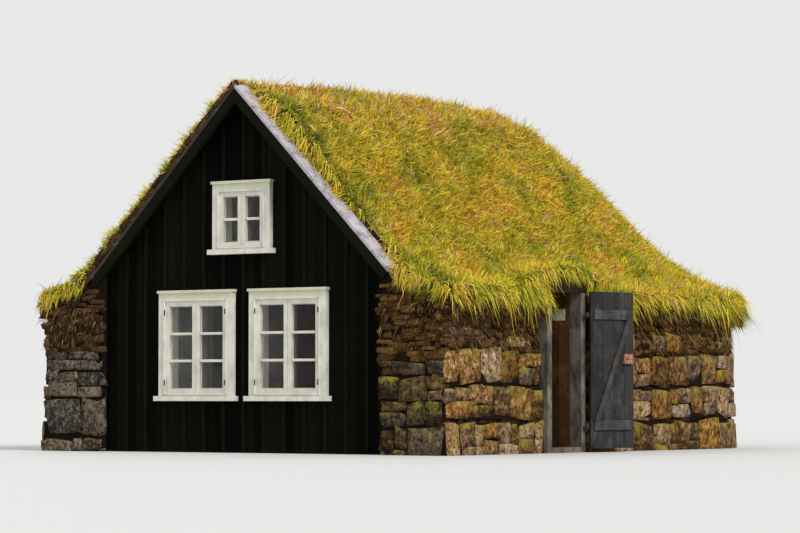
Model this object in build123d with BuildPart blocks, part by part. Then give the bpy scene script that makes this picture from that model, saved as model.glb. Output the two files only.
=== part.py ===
from build123d import *
import os
from math import atan, cos, degrees, pi, radians, sin, sqrt

os.makedirs("parts", exist_ok=True)

# A turf house: a boarded gable between thick stone and turf walls, under a turf roof.
# Lengths are millimetres. X runs to the right along the gable, the gable faces -Y and Z is up.
# The origin is the middle of the footprint, at the level of the ground.

# Main sizes of the building
house_length = 7200
house_width = 5600
room_width = 3960
room_length = 4900
wall_lean = 80
wall_forward = 150
corner_radius = 1500
course_count = 4
joint_height = 45
joint_depth = 35
slope_root = sqrt(2)

# Roof of boards on rafters, with the turf on top
roof_overhang = 150
cap_thick = 30
cap_width = 230
barge_height = 110
barge_thick = 30
deck_thick = 25
rafter_depth = 80
rafter_width = 75
rafter_count = 6
ridge_beam_width = 100
ridge_beam_height = 130
rafter_heel = 32
shoulder_width = 180
shoulder_fall = 207
back_step = 450
back_shoulder_step = 200
back_edge_step = 100
hip_foot = 150

# Grown turf over the roof
turf_lap = 60
turf_skirt = 130
turf_lip = 130
ridge_cover = 50
slope_cover = 200
knee_cover = 185
ridge_swell = 85
swell_share = 0.9
hip_share = 0.6
hip_depth = 0.8
hip_power = 3
middle_share = 0.52
mound_margin = 40
mound_sections = 7
mound_panels = 12

# Timber frame inside
floor_level = 100
floor_thick = 25
sleeper_height = floor_level - floor_thick
sleeper_width = 100
sleeper_pitch = 950
post_size = 95
plate_size = 100
plate_bottom = 1860
joist_height = 90
joist_width = 75
loft_board = 25
hatch_width = 700
hatch_length = 650

# Boarded gable
board_thick = 25
gable_frame_depth = 90
gable_stud = 90
gable_gap = 15
batten_thick = 14
batten_width = 45
batten_pitch = 280

# Windows of the gable
casing_proud = 60
casing_width = 95
sill_height = 55
sill_horn = 40
sill_proud = 45
head_board = 30
sash_stile = 58
sash_depth = 40
sash_gap = 4
glass_thick = 4
glass_seat = 9
glass_setback = 10
lining_width = 40
lower_window_width = 1050
lower_window_height = 1170
lower_window_bottom = 600
lower_window_centre = 640
upper_window_width = 800
upper_window_height = 750
upper_window_rise = 230

# Doorway through the right-hand wall, and its door
door_from_gable = 1820
door_clear = 600
door_head_drop = 195
door_sill_top = 60
door_post_depth = 150
door_post_width = 90
door_post_proud = 50
door_head_height = 150
lining_thick = 20
lintel_thick = 80
lintel_bearing = 180
lintel_plank = 260
lintel_gap = 8
hood_rise = 170
hood_spread = 620
hood_shoulder = 0.75
hood_panels = 8
passage_floor_top = 50
leaf_lap = 25
leaf_head_lap = 20
leaf_thick = 28
leaf_bottom = 45
leaf_gap = 9
leaf_edge = 18
door_open_angle = 165
ledge_height = 110
ledge_thick = 25
ledge_end_gap = 42
ledge_chamfer = 4
ledge_low = 300
ledge_head_gap = 255
brace_width = 70
strap_length = 480
strap_height = 40
strap_thick = 6
eye_radius = 14
pin_radius = 8
pin_play = 0.1
hinge_gap = 5
pintle_arm = 14
lock_width = 130
lock_height = 110
lock_depth = 40
lock_centre = 1040
handle_radius = 9
handle_share = 0.7

# Places worked out from the sizes above
half_width = house_width / 2
half_room = room_width / 2
front_y = -house_length / 2
back_y = house_length / 2
gable_y = front_y + wall_forward
eave_front_y = gable_y - roof_overhang
room_back_y = gable_y + room_length
plate_top = plate_bottom + plate_size
rafter_apex = plate_top + rafter_heel + half_room
rafter_under_apex = rafter_apex - rafter_depth * slope_root
deck_apex = rafter_apex + deck_thick * slope_root
apex_height = deck_apex + cap_thick * slope_root
knee_x = half_room + shoulder_width
knee_z = deck_apex - knee_x
shoulder_edge = knee_z - shoulder_fall
turf_edge_bottom = shoulder_edge - turf_skirt
turf_edge_x = half_width + turf_lap
mound_edge_x = turf_edge_x + mound_margin
mound_length = house_length + turf_lap + mound_margin
middle_x = half_room * middle_share
frame_back_y = gable_y + board_thick + gable_frame_depth
upper_window_bottom = plate_top + loft_board + upper_window_rise
post_face_x = half_width + door_post_proud
door_near_y = gable_y + door_from_gable
door_far_y = door_near_y + door_clear
door_mid_y = (door_near_y + door_far_y) / 2
door_head = plate_top - door_head_drop
lintel_bottom = door_head + lining_thick
lintel_top = lintel_bottom + lintel_thick
leaf_width = door_clear + 2 * leaf_lap
leaf_height = door_head + leaf_head_lap - leaf_bottom
ledge_high = leaf_bottom + leaf_height - ledge_head_gap
lean_rate = wall_lean / shoulder_edge
course_pitch = turf_edge_bottom / course_count
tall = 2 * apex_height
reach = house_length


def roof_profile(ridge, knee_height, edge_height):
    """Draws the cross-section of the walls and room under the turf."""
    Polyline(
        (-half_width, 0),
        (half_width, 0),
        (half_width, edge_height),
        (knee_x, knee_height),
        (0, ridge),
        (-knee_x, knee_height),
        (-half_width, edge_height),
        close=True,
    )


def turf_profile(ridge, middle, knee_height, edge_height):
    """Draws the cross-section of the mound: a smooth curve, followed by straight panels.

    It is a little wider than the roof, and is trimmed to the footprint later.
    """
    curve = Spline(
        (-mound_edge_x, edge_height),
        (-knee_x, knee_height),
        (-middle_x, middle),
        (0, ridge),
        (middle_x, middle),
        (knee_x, knee_height),
        (mound_edge_x, edge_height),
        mode=Mode.PRIVATE,
    )
    Polyline(*[curve @ (panel / mound_panels) for panel in range(mound_panels + 1)])
    Polyline(
        (mound_edge_x, edge_height),
        (mound_edge_x, turf_edge_bottom),
        (-mound_edge_x, turf_edge_bottom),
        (-mound_edge_x, edge_height),
    )


def plan_outline(grow, start_y=front_y - reach):
    """Draws the footprint with its rounded back corners, grown by a margin at the sides and back."""
    half = half_width + grow
    FilletPolyline(
        (half, start_y),
        (half, back_y + grow),
        (-half, back_y + grow),
        (-half, start_y),
        radius=corner_radius + grow,
    )
    Line((-half, start_y), (half, start_y))


def long_box(x0, x1, y0, y1, z0, z1, mode=Mode.ADD):
    """Makes a box between two corners, inside the part that is being built."""
    with Locations(((x0 + x1) / 2, (y0 + y1) / 2, (z0 + z1) / 2)):
        Box(abs(x1 - x0), abs(y1 - y0), abs(z1 - z0), mode=mode)


def finish(builder, label):
    """Names a finished part and writes its file."""
    builder.part.label = label
    export_step(builder.part, f"parts/{label}.step")


# Walls: one core under the turf, leaning in a little, that is then cut into separate walls
with BuildPart() as wall_core:
    with BuildSketch(Plane.XZ.offset(-front_y)):
        with BuildLine():
            roof_profile(deck_apex, knee_z, shoulder_edge)
        make_face()
    extrude(amount=-(room_back_y - front_y))
    # behind the room the core is lower and slopes down to the back wall
    with BuildSketch(Plane.XZ.offset(-room_back_y)):
        with BuildLine():
            roof_profile(deck_apex - back_step, knee_z - back_shoulder_step, shoulder_edge - back_edge_step)
        make_face()
    extrude(amount=-(back_y - room_back_y))
    with BuildSketch(Plane.YZ):
        with BuildLine():
            Polyline(
                (room_back_y, deck_apex - back_step),
                (back_y, shoulder_edge + hip_foot),
                (back_y, tall),
                (room_back_y, tall),
                close=True,
            )
        make_face()
    extrude(amount=reach, both=True, mode=Mode.SUBTRACT)
    # a raised shoulder carries the planks over the doorway
    bump_half = door_clear / 2 + lining_thick + lintel_bearing
    with BuildSketch(Plane.YZ.offset(half_room)):
        with BuildLine():
            Polyline(
                (door_mid_y - bump_half - hood_spread, shoulder_edge - lintel_top / 2),
                (door_mid_y + bump_half + hood_spread, shoulder_edge - lintel_top / 2),
                (door_mid_y + bump_half, lintel_top),
                (door_mid_y - bump_half, lintel_top),
                close=True,
            )
        make_face()
    extrude(amount=half_width - half_room)
    # the walls lean in towards the top
    with BuildSketch():
        with BuildLine():
            plan_outline(0)
        make_face()
    extrude(amount=tall, taper=degrees(atan(lean_rate)), mode=Mode.INTERSECT)

# Each course of stones ends in a joint of turf that stands back a little, all round the outside
with BuildPart() as course_joints:
    for course in range(1, course_count):
        joint_top = course * course_pitch
        with BuildSketch(Plane.XY.offset(joint_top - joint_height)):
            Rectangle(2 * reach, 2 * reach)
            with BuildLine():
                plan_outline(-lean_rate * joint_top - joint_depth, front_y + joint_depth)
            make_face(mode=Mode.SUBTRACT)
        extrude(amount=joint_height)

with BuildPart() as core:
    add(wall_core.part)
    add(course_joints.part, mode=Mode.SUBTRACT)

with BuildPart() as left_wall:
    add(core.part)
    long_box(-reach, -half_room, front_y, room_back_y, 0, tall, mode=Mode.INTERSECT)
finish(left_wall, "left_wall")

masonry_near = door_near_y - lining_thick
masonry_far = door_far_y + lining_thick
frame_back_x = post_face_x - door_post_depth


def right_wall_piece(y0, y1):
    """Makes one length of the right-hand wall, cut back for the door frame and the lintel planks."""
    with BuildPart() as piece:
        add(core.part)
        long_box(half_room, reach, y0, y1, 0, tall, mode=Mode.INTERSECT)
        long_box(
            half_room, reach,
            masonry_near - lintel_bearing, masonry_far + lintel_bearing,
            lintel_bottom, tall,
            mode=Mode.SUBTRACT,
        )
        long_box(
            frame_back_x, reach,
            door_near_y - door_post_width, door_far_y + door_post_width,
            0, lintel_bottom,
            mode=Mode.SUBTRACT,
        )
    return piece


finish(right_wall_piece(front_y, masonry_near), "right_wall_front")
finish(right_wall_piece(masonry_far, room_back_y), "right_wall_back")

with BuildPart() as back_wall:
    add(core.part)
    long_box(-reach, reach, room_back_y, reach, 0, tall, mode=Mode.INTERSECT)
finish(back_wall, "back_wall")

# Doorway through the right-hand wall: planks overhead, boarded sides, a floor and the door frame
with BuildPart() as lintels:
    span = frame_back_x - half_room
    planks = max(1, round(span / lintel_plank))
    pitch = span / planks
    for index in range(planks):
        start = half_room + index * pitch
        long_box(
            start, start + pitch - lintel_gap,
            masonry_near - lintel_bearing, masonry_far + lintel_bearing,
            lintel_bottom, lintel_top,
        )
finish(lintels, "passage_lintels")

with BuildPart() as passage_lining:
    for y0, y1 in ((masonry_near, door_near_y), (door_far_y, masonry_far)):
        long_box(half_room, frame_back_x, y0, y1, passage_floor_top, lintel_bottom)
finish(passage_lining, "passage_lining")

with BuildPart() as passage_floor:
    long_box(half_room, frame_back_x, masonry_near, masonry_far, 0, passage_floor_top)
finish(passage_floor, "passage_floor")

for label, y0, y1 in (
    ("door_post_front", door_near_y - door_post_width, door_near_y),
    ("door_post_back", door_far_y, door_far_y + door_post_width),
):
    with BuildPart() as door_post:
        long_box(frame_back_x, post_face_x, y0, y1, 0, door_head)
    finish(door_post, label)

head_top = door_head + door_head_height
with BuildPart() as door_head_beam:
    long_box(
        frame_back_x, post_face_x,
        door_near_y - door_post_width, door_far_y + door_post_width,
        door_head, head_top,
    )
finish(door_head_beam, "door_head")

with BuildPart() as door_sill:
    long_box(frame_back_x, post_face_x, door_near_y, door_far_y, 0, door_sill_top)
finish(door_sill, "door_sill")

# Turf: a smooth mound through a few cross-sections that stand closer together towards the back,
# where the mound rounds down to the height of its rim
rim_height = shoulder_edge + turf_lip


def rounded_down(height, share):
    """Lowers a height towards the rim, the more so the nearer a section is to the back."""
    fall = hip_depth * max(0, (share - hip_share) / (1 - hip_share)) ** hip_power
    return height + (rim_height - height) * fall


with BuildPart() as mound:
    for index in range(mound_sections):
        share = sin(pi / 2 * index / (mound_sections - 1))
        swell = ridge_swell * sin(pi * share / swell_share)
        with BuildSketch(Plane.XZ.offset(-(front_y + share * mound_length))):
            with BuildLine():
                turf_profile(
                    rounded_down(deck_apex + ridge_cover + swell, share),
                    rounded_down(deck_apex - middle_x + slope_cover + swell, share),
                    rounded_down(knee_z + knee_cover, share),
                    rim_height,
                )
            make_face()
    loft(ruled=True)

with BuildPart() as turf_body:
    add(mound.part)
    # the hood over the doorway
    hood_half = bump_half + hood_spread
    hood_side = lintel_top + hood_rise * hood_shoulder
    with BuildSketch(Plane.YZ.offset(half_room)):
        with BuildLine():
            hood_curve = Spline(
                (door_mid_y - hood_half, shoulder_edge),
                (door_mid_y - bump_half, hood_side),
                (door_mid_y, lintel_top + hood_rise),
                (door_mid_y + bump_half, hood_side),
                (door_mid_y + hood_half, shoulder_edge),
                mode=Mode.PRIVATE,
            )
            Polyline(*[hood_curve @ (panel / hood_panels) for panel in range(hood_panels + 1)])
            Polyline(
                (door_mid_y + hood_half, shoulder_edge),
                (door_mid_y + hood_half, turf_edge_bottom),
                (door_mid_y - hood_half, turf_edge_bottom),
                (door_mid_y - hood_half, shoulder_edge),
            )
        make_face()
    extrude(amount=mound_edge_x - half_room)
    with BuildSketch():
        with BuildLine():
            plan_outline(turf_lap)
        make_face()
    extrude(amount=tall, mode=Mode.INTERSECT)
    add(core.part, mode=Mode.SUBTRACT)
    add(lintels.part, mode=Mode.SUBTRACT)
    # the front of the slopes is left free for the verge caps
    with BuildSketch(Plane.XZ.offset(-front_y)):
        Rectangle(2 * knee_x, 2 * tall)
    extrude(amount=-(eave_front_y + cap_width - front_y), mode=Mode.SUBTRACT)
    # the doorway itself
    long_box(
        half_room, reach,
        door_near_y - door_post_width, door_far_y + door_post_width,
        0, lintel_top,
        mode=Mode.SUBTRACT,
    )
    long_box(
        frame_back_x, reach,
        door_near_y - door_post_width, door_far_y + door_post_width,
        0, head_top,
        mode=Mode.SUBTRACT,
    )

for label, side in (("turf_left", -1), ("turf_right", 1)):
    with BuildPart() as turf_half:
        add(turf_body.part)
        long_box(0, side * reach, -reach, reach, 0, 2 * tall, mode=Mode.INTERSECT)
    finish(turf_half, label)

# Roof boards, rafters and the beams that carry them
for label, side in (("roof_deck_left", -1), ("roof_deck_right", 1)):
    with BuildPart() as deck:
        with BuildSketch(Plane.XZ.offset(-eave_front_y)):
            with BuildLine():
                Polyline(
                    (0, deck_apex),
                    (side * half_room, deck_apex - half_room),
                    (side * half_room, rafter_apex - half_room),
                    (0, rafter_apex),
                    close=True,
                )
            make_face()
        extrude(amount=-(room_back_y - eave_front_y))
    finish(deck, label)

first_rafter = frame_back_y
last_rafter = room_back_y - rafter_width
with BuildPart() as rafters:
    for index in range(rafter_count):
        station = first_rafter + index * (last_rafter - first_rafter) / (rafter_count - 1)
        with BuildSketch(Plane.XZ.offset(-station)):
            with BuildLine():
                Polyline(
                    (-half_room, rafter_apex - half_room),
                    (0, rafter_apex),
                    (half_room, rafter_apex - half_room),
                    (half_room, plate_top),
                    (rafter_under_apex - plate_top, plate_top),
                    (0, rafter_under_apex),
                    (plate_top - rafter_under_apex, plate_top),
                    (-half_room, plate_top),
                    close=True,
                )
            make_face()
        extrude(amount=-rafter_width)
finish(rafters, "rafters")

with BuildPart() as ridge_beam:
    with BuildSketch(Plane.XZ.offset(-frame_back_y)):
        with BuildLine():
            beam_half = ridge_beam_width / 2
            Polyline(
                (0, rafter_under_apex),
                (beam_half, rafter_under_apex - beam_half),
                (beam_half, rafter_under_apex - ridge_beam_height),
                (-beam_half, rafter_under_apex - ridge_beam_height),
                (-beam_half, rafter_under_apex - beam_half),
                close=True,
            )
        make_face()
    extrude(amount=-(room_back_y - frame_back_y))
finish(ridge_beam, "ridge_beam")

with BuildPart() as wall_plates:
    for side in (-1, 1):
        long_box(
            side * (half_room - plate_size), side * half_room,
            frame_back_y, room_back_y,
            plate_bottom, plate_top,
        )
finish(wall_plates, "wall_plates")

post_rows = [
    frame_back_y,
    door_near_y - post_size - lining_thick,
    door_far_y + lining_thick,
    room_back_y - post_size,
]
with BuildPart() as wall_posts:
    for side in (-1, 1):
        for y0 in post_rows:
            long_box(
                side * (half_room - post_size), side * half_room,
                y0, y0 + post_size,
                0, plate_bottom,
            )
finish(wall_posts, "wall_posts")

# Floors
floor_half = half_room - post_size
first_sleeper = -int((-frame_back_y - sleeper_width / 2) / sleeper_pitch)
last_sleeper = int((room_back_y - sleeper_width / 2) / sleeper_pitch)
with BuildPart() as floor_sleepers:
    for index in range(first_sleeper, last_sleeper + 1):
        y0 = index * sleeper_pitch - sleeper_width / 2
        long_box(-floor_half, floor_half, y0, y0 + sleeper_width, 0, sleeper_height)
finish(floor_sleepers, "floor_sleepers")

with BuildPart() as ground_floor:
    long_box(-floor_half, floor_half, frame_back_y, room_back_y, sleeper_height, floor_level)
finish(ground_floor, "ground_floor")

joist_half = half_room - plate_size
joist_bottom = plate_top - joist_height
joist_step = (last_rafter - first_rafter) / (rafter_count - 1)
with BuildPart() as loft_joists:
    for index in range(rafter_count):
        y0 = first_rafter + index * joist_step
        long_box(-joist_half, joist_half, y0, y0 + joist_width, joist_bottom, plate_top)
finish(loft_joists, "loft_joists")

loft_half = rafter_under_apex - plate_top - loft_board
hatch_y = last_rafter - joist_step / 2 + joist_width / 2
hatch_x = loft_half / 2
with BuildPart() as loft_floor:
    long_box(-loft_half, loft_half, frame_back_y, room_back_y, plate_top, plate_top + loft_board)
    # the way up, between the last two joists
    long_box(
        -hatch_x - hatch_width / 2, -hatch_x + hatch_width / 2,
        hatch_y - hatch_length / 2, hatch_y + hatch_length / 2,
        plate_top, plate_top + loft_board,
        mode=Mode.SUBTRACT,
    )
finish(loft_floor, "loft_floor")


# The gable: a frame of timber, vertical boards and cover strips, with three windows
def window_box(centre, bottom, width, height):
    """Gives the centre and size of the hole that a window needs in the gable."""
    hole_width = width - 2 * (casing_width - lining_width)
    hole_bottom = bottom + sill_height - lining_width / 2
    hole_top = bottom + height - casing_width + lining_width
    return centre, (hole_bottom + hole_top) / 2, hole_width, hole_top - hole_bottom


lower_window = (lower_window_bottom, lower_window_width, lower_window_height)
windows = (
    ("lower_left_window", -lower_window_centre, *lower_window),
    ("lower_right_window", lower_window_centre, *lower_window),
    ("upper_window", 0, upper_window_bottom, upper_window_width, upper_window_height),
)


def gable_outline(inset):
    """Draws the outline of the gable under the roof boards."""
    half = half_room - inset
    Polyline(
        (-half, 0),
        (half, 0),
        (half, rafter_apex - half),
        (0, rafter_apex),
        (-half, rafter_apex - half),
        close=True,
    )


def window_holes():
    """Cuts the three window holes out of the sketch that is being drawn."""
    for _, centre, bottom, width, height in windows:
        x, z, hole_width, hole_height = window_box(centre, bottom, width, height)
        with Locations((x, z)):
            Rectangle(hole_width, hole_height, mode=Mode.SUBTRACT)


with BuildPart() as gable_boarding:
    with BuildSketch(Plane.XZ.offset(-gable_y)):
        with BuildLine():
            gable_outline(gable_gap)
        make_face()
        window_holes()
    extrude(amount=-board_thick)
finish(gable_boarding, "gable_boarding")

with BuildPart() as gable_frame:
    with BuildSketch(Plane.XZ.offset(-(gable_y + board_thick))):
        with BuildLine():
            gable_outline(0)
        make_face()
        # the open panels between the sill, the posts, the rails and the sloping members
        inner = half_room - gable_stud
        low_panel = lower_window_bottom - gable_stud
        rail_bottom = lower_window_bottom + lower_window_height
        with Locations((0, (gable_stud + low_panel) / 2)):
            Rectangle(2 * inner, low_panel - gable_stud, mode=Mode.SUBTRACT)
        side_start = lower_window_centre + lower_window_width / 2
        for side in (-1, 1):
            with Locations((side * (side_start + inner) / 2, (low_panel + gable_stud + rail_bottom) / 2)):
                Rectangle(inner - side_start, rail_bottom - low_panel - gable_stud, mode=Mode.SUBTRACT)
        window_holes()
    extrude(amount=-gable_frame_depth)
finish(gable_frame, "gable_frame")

barge_under_apex = deck_apex - barge_height * slope_root
strip_line = rafter_apex - batten_width
with BuildPart() as cover_strips:
    count = int((half_room - gable_gap - batten_width) / batten_pitch)
    with BuildSketch(Plane.XZ.offset(-gable_y)):
        for index in range(-count, count + 1):
            x = index * batten_pitch
            top = strip_line - abs(x)
            with Locations((x, top / 2)):
                Rectangle(batten_width, top)
        for _, centre, bottom, width, height in windows:
            with Locations((centre, bottom + height / 2)):
                Rectangle(
                    width + 2 * sill_horn + 2, height + 2 * head_board + 2,
                    mode=Mode.SUBTRACT,
                )
    extrude(amount=batten_thick)
finish(cover_strips, "gable_cover_strips")


def make_window(label, centre, bottom, width, height):
    """Makes the frame, the sashes and the glass of one window of the gable."""
    top = bottom + height
    light_left = centre - width / 2 + casing_width
    light_right = centre + width / 2 - casing_width
    light_bottom = bottom + sill_height
    light_top = top - casing_width
    face_y = gable_y - casing_proud
    lining_back_y = frame_back_y
    _, hole_z, hole_width, hole_height = window_box(centre, bottom, width, height)
    with BuildPart() as window_frame:
        # casing boards on the face of the gable, with a sill and a head board that stand further out
        long_box(centre - width / 2, centre + width / 2, face_y, gable_y, bottom, top)
        long_box(
            centre - width / 2 - sill_horn, centre + width / 2 + sill_horn,
            face_y - sill_proud, gable_y,
            bottom - head_board, bottom + sill_height - head_board,
        )
        long_box(
            centre - width / 2 - head_board / 2, centre + width / 2 + head_board / 2,
            face_y - head_board / 2, gable_y,
            top, top + head_board,
        )
        # the lining that runs back through the boards and the frame behind them
        with BuildSketch(Plane.XZ.offset(-gable_y)):
            with Locations((centre, hole_z)):
                Rectangle(hole_width, hole_height)
        extrude(amount=-(lining_back_y - gable_y))
        long_box(
            light_left, light_right,
            face_y - sill_proud, lining_back_y,
            light_bottom, light_top,
            mode=Mode.SUBTRACT,
        )
    finish(window_frame, f"{label}_frame")

    sash_front = face_y + glass_setback
    casements = 2
    clear = (light_right - light_left - sash_gap * (casements - 1)) / casements
    centres = [light_left + clear / 2, light_right - clear / 2]
    with BuildPart() as sashes:
        for x in centres:
            with BuildSketch(Plane.XZ.offset(-sash_front)):
                with Locations((x, (light_bottom + light_top) / 2)):
                    Rectangle(clear, light_top - light_bottom)
                    Rectangle(
                        clear - 2 * sash_stile,
                        light_top - light_bottom - 2 * sash_stile,
                        mode=Mode.SUBTRACT,
                    )
            extrude(amount=-sash_depth)
            with BuildSketch(Plane.XZ.offset(-sash_front)):
                with Locations((x, (light_bottom + light_top) / 2)):
                    Rectangle(
                        clear - 2 * (sash_stile - glass_seat),
                        light_top - light_bottom - 2 * (sash_stile - glass_seat),
                    )
            extrude(amount=-(glass_setback + glass_thick), mode=Mode.SUBTRACT)
    finish(sashes, f"{label}_sashes")

    with BuildPart() as glass:
        for x in centres:
            with BuildSketch(Plane.XZ.offset(-(sash_front + glass_setback))):
                with Locations((x, (light_bottom + light_top) / 2)):
                    Rectangle(
                        clear - 2 * (sash_stile - glass_seat),
                        light_top - light_bottom - 2 * (sash_stile - glass_seat),
                    )
            extrude(amount=-glass_thick)
    finish(glass, f"{label}_glass")


for window in windows:
    make_window(*window)

# Verge: bargeboards in front of the roof boards, with a broad cap board on top
barge_foot = knee_x - shoulder_width / 2
barge_end = barge_foot - barge_height / slope_root
for name, side in (("left", -1), ("right", 1)):
    with BuildPart() as bargeboard:
        with BuildSketch(Plane.XZ.offset(-eave_front_y)):
            with BuildLine():
                Polyline(
                    (0, deck_apex),
                    (side * barge_foot, deck_apex - barge_foot),
                    (side * barge_end, barge_under_apex - barge_end),
                    (0, barge_under_apex),
                    close=True,
                )
            make_face()
        extrude(amount=barge_thick)
    finish(bargeboard, f"bargeboard_{name}")
    with BuildPart() as verge_cap:
        with BuildSketch(Plane.XZ.offset(-(eave_front_y + cap_width - barge_thick))):
            with BuildLine():
                Polyline(
                    (0, apex_height),
                    (side * barge_foot, apex_height - barge_foot),
                    (side * barge_foot, deck_apex - barge_foot),
                    (0, deck_apex),
                    close=True,
                )
            make_face()
        extrude(amount=cap_width)
    finish(verge_cap, f"verge_cap_{name}")

# The door: a ledged and braced leaf, drawn from its hinge line in the open position.
# On this plane x runs along the leaf from the hinge line, y is up and z points to its inner face.
hinge_x = post_face_x + leaf_gap + leaf_thick + eye_radius
hinge_y = door_far_y + (leaf_width - door_clear) / 2 + leaf_edge
turn = radians(door_open_angle)
leaf_plane = Plane(
    origin=(hinge_x, hinge_y, 0),
    x_dir=(sin(turn), -cos(turn), 0),
    z_dir=(-cos(turn), -sin(turn), 0),
)
outer_face = eye_radius
inner_face = eye_radius + leaf_thick
leaf_end = leaf_edge + leaf_width
ledge_start = leaf_edge + ledge_end_gap
ledge_end = leaf_end - ledge_end_gap

with BuildPart() as door_leaf:
    with BuildSketch(leaf_plane.offset(outer_face)):
        with Locations((leaf_edge + leaf_width / 2, leaf_bottom + leaf_height / 2)):
            Rectangle(leaf_width, leaf_height)
    extrude(amount=leaf_thick)
finish(door_leaf, "door_leaf")

with BuildPart() as door_ledges:
    with BuildSketch(leaf_plane.offset(inner_face)):
        for z in (ledge_low, ledge_high):
            with Locations(((ledge_start + ledge_end) / 2, z)):
                Rectangle(ledge_end - ledge_start, ledge_height)
    extrude(amount=ledge_thick)
    outwards = Axis((hinge_x, hinge_y, 0), leaf_plane.z_dir)
    chamfer(door_ledges.edges().group_by(outwards)[-1], length=ledge_chamfer)
finish(door_ledges, "door_ledges")

brace_low = ledge_low + ledge_height / 2
brace_high = ledge_high - ledge_height / 2
with BuildPart() as door_brace:
    with BuildSketch(leaf_plane.offset(inner_face)):
        with BuildLine():
            Polyline(
                (ledge_start, brace_low),
                (ledge_start + brace_width, brace_low),
                (ledge_end, brace_high),
                (ledge_end - brace_width, brace_high),
                close=True,
            )
        make_face()
    extrude(amount=ledge_thick)
finish(door_brace, "door_brace")

with BuildPart() as door_straps:
    for z in (ledge_low, ledge_high):
        with BuildSketch(leaf_plane.offset(outer_face - strap_thick)):
            with Locations((strap_length / 2, z)):
                Rectangle(strap_length, strap_height)
        extrude(amount=strap_thick)
        with BuildSketch(Plane(origin=(hinge_x, hinge_y, z - strap_height / 2))):
            Circle(eye_radius)
        extrude(amount=strap_height)
        with BuildSketch(Plane(origin=(hinge_x, hinge_y, z - strap_height / 2))):
            Circle(pin_radius + pin_play)
        extrude(amount=strap_height, mode=Mode.SUBTRACT)
finish(door_straps, "door_hinge_straps")

with BuildPart() as pintles:
    for z in (ledge_low, ledge_high):
        arm_top = z - strap_height / 2 - hinge_gap
        long_box(
            post_face_x, hinge_x + pin_radius,
            hinge_y - pintle_arm / 2, hinge_y + pintle_arm / 2,
            arm_top - pintle_arm, arm_top,
        )
        with BuildSketch(Plane(origin=(hinge_x, hinge_y, arm_top))):
            Circle(pin_radius)
        extrude(amount=strap_height + 2 * hinge_gap)
finish(pintles, "door_pintles")

with BuildPart() as door_lock:
    with BuildSketch(leaf_plane.offset(inner_face)):
        with Locations((leaf_end - ledge_end_gap - lock_width / 2, lock_centre)):
            Rectangle(lock_width, lock_height)
    extrude(amount=lock_depth)
    with BuildSketch(leaf_plane.offset(inner_face + lock_depth)):
        with Locations((leaf_end - ledge_end_gap - lock_width * handle_share, lock_centre)):
            Circle(handle_radius)
    extrude(amount=lock_depth)
finish(door_lock, "door_lock")
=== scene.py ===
"""Looks of the turf house: tarred gable, painted windows, walls of stone and cut turf, grass roof."""

import logging
import math
from dataclasses import dataclass, field
from enum import Enum

import bpy
import numpy as np
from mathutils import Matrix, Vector


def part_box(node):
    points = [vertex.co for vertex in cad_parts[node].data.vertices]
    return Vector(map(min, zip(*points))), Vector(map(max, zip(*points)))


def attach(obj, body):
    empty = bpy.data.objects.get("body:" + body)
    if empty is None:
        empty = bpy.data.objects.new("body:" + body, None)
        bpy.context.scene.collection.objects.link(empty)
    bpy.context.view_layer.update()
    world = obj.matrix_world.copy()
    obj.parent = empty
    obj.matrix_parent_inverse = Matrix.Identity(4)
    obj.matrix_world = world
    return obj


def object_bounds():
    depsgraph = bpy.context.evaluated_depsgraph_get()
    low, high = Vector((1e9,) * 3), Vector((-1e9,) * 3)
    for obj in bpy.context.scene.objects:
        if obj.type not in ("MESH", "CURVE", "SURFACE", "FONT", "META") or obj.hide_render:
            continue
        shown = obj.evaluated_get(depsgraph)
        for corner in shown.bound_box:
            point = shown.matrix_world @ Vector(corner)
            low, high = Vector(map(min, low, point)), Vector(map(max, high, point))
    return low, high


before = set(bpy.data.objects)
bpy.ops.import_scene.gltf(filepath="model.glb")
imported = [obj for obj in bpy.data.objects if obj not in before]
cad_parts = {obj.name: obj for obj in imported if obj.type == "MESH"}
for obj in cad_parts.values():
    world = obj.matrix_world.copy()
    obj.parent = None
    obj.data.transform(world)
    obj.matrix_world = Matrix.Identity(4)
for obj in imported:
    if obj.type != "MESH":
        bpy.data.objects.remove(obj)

CAD_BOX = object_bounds()
LOG = logging.getLogger("turf_house")
HOUSE = "house"
MM = 0.001
UP = np.array([0.0, 0.0, 1.0])
Socket = bpy.types.NodeSocket
Random = np.random.Generator

# How far the lower end of a verge cap lies from the middle of the gable
KNEE = 2.16
# A stone's or blade's tone is spread by this factor before it picks a random value of its own
TONE_SPREAD = 977.0


class Axis(Enum):
    """The direction in which a board's grain runs."""

    X = 0
    Y = 1
    Z = 2
    SLOPE = 3


# Colours and nodes


def linear(hex_code: str) -> tuple:
    """Turns an sRGB hex colour into linear values.

    Args:
        hex_code: Six hex digits.

    Returns:
        Red, green, blue and an alpha of 1.
    """
    parts = [int(hex_code[i : i + 2], 16) / 255 for i in (0, 2, 4)]
    return tuple(c / 12.92 if c <= 0.04045 else ((c + 0.055) / 1.055) ** 2.4 for c in parts) + (1.0,)


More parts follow.
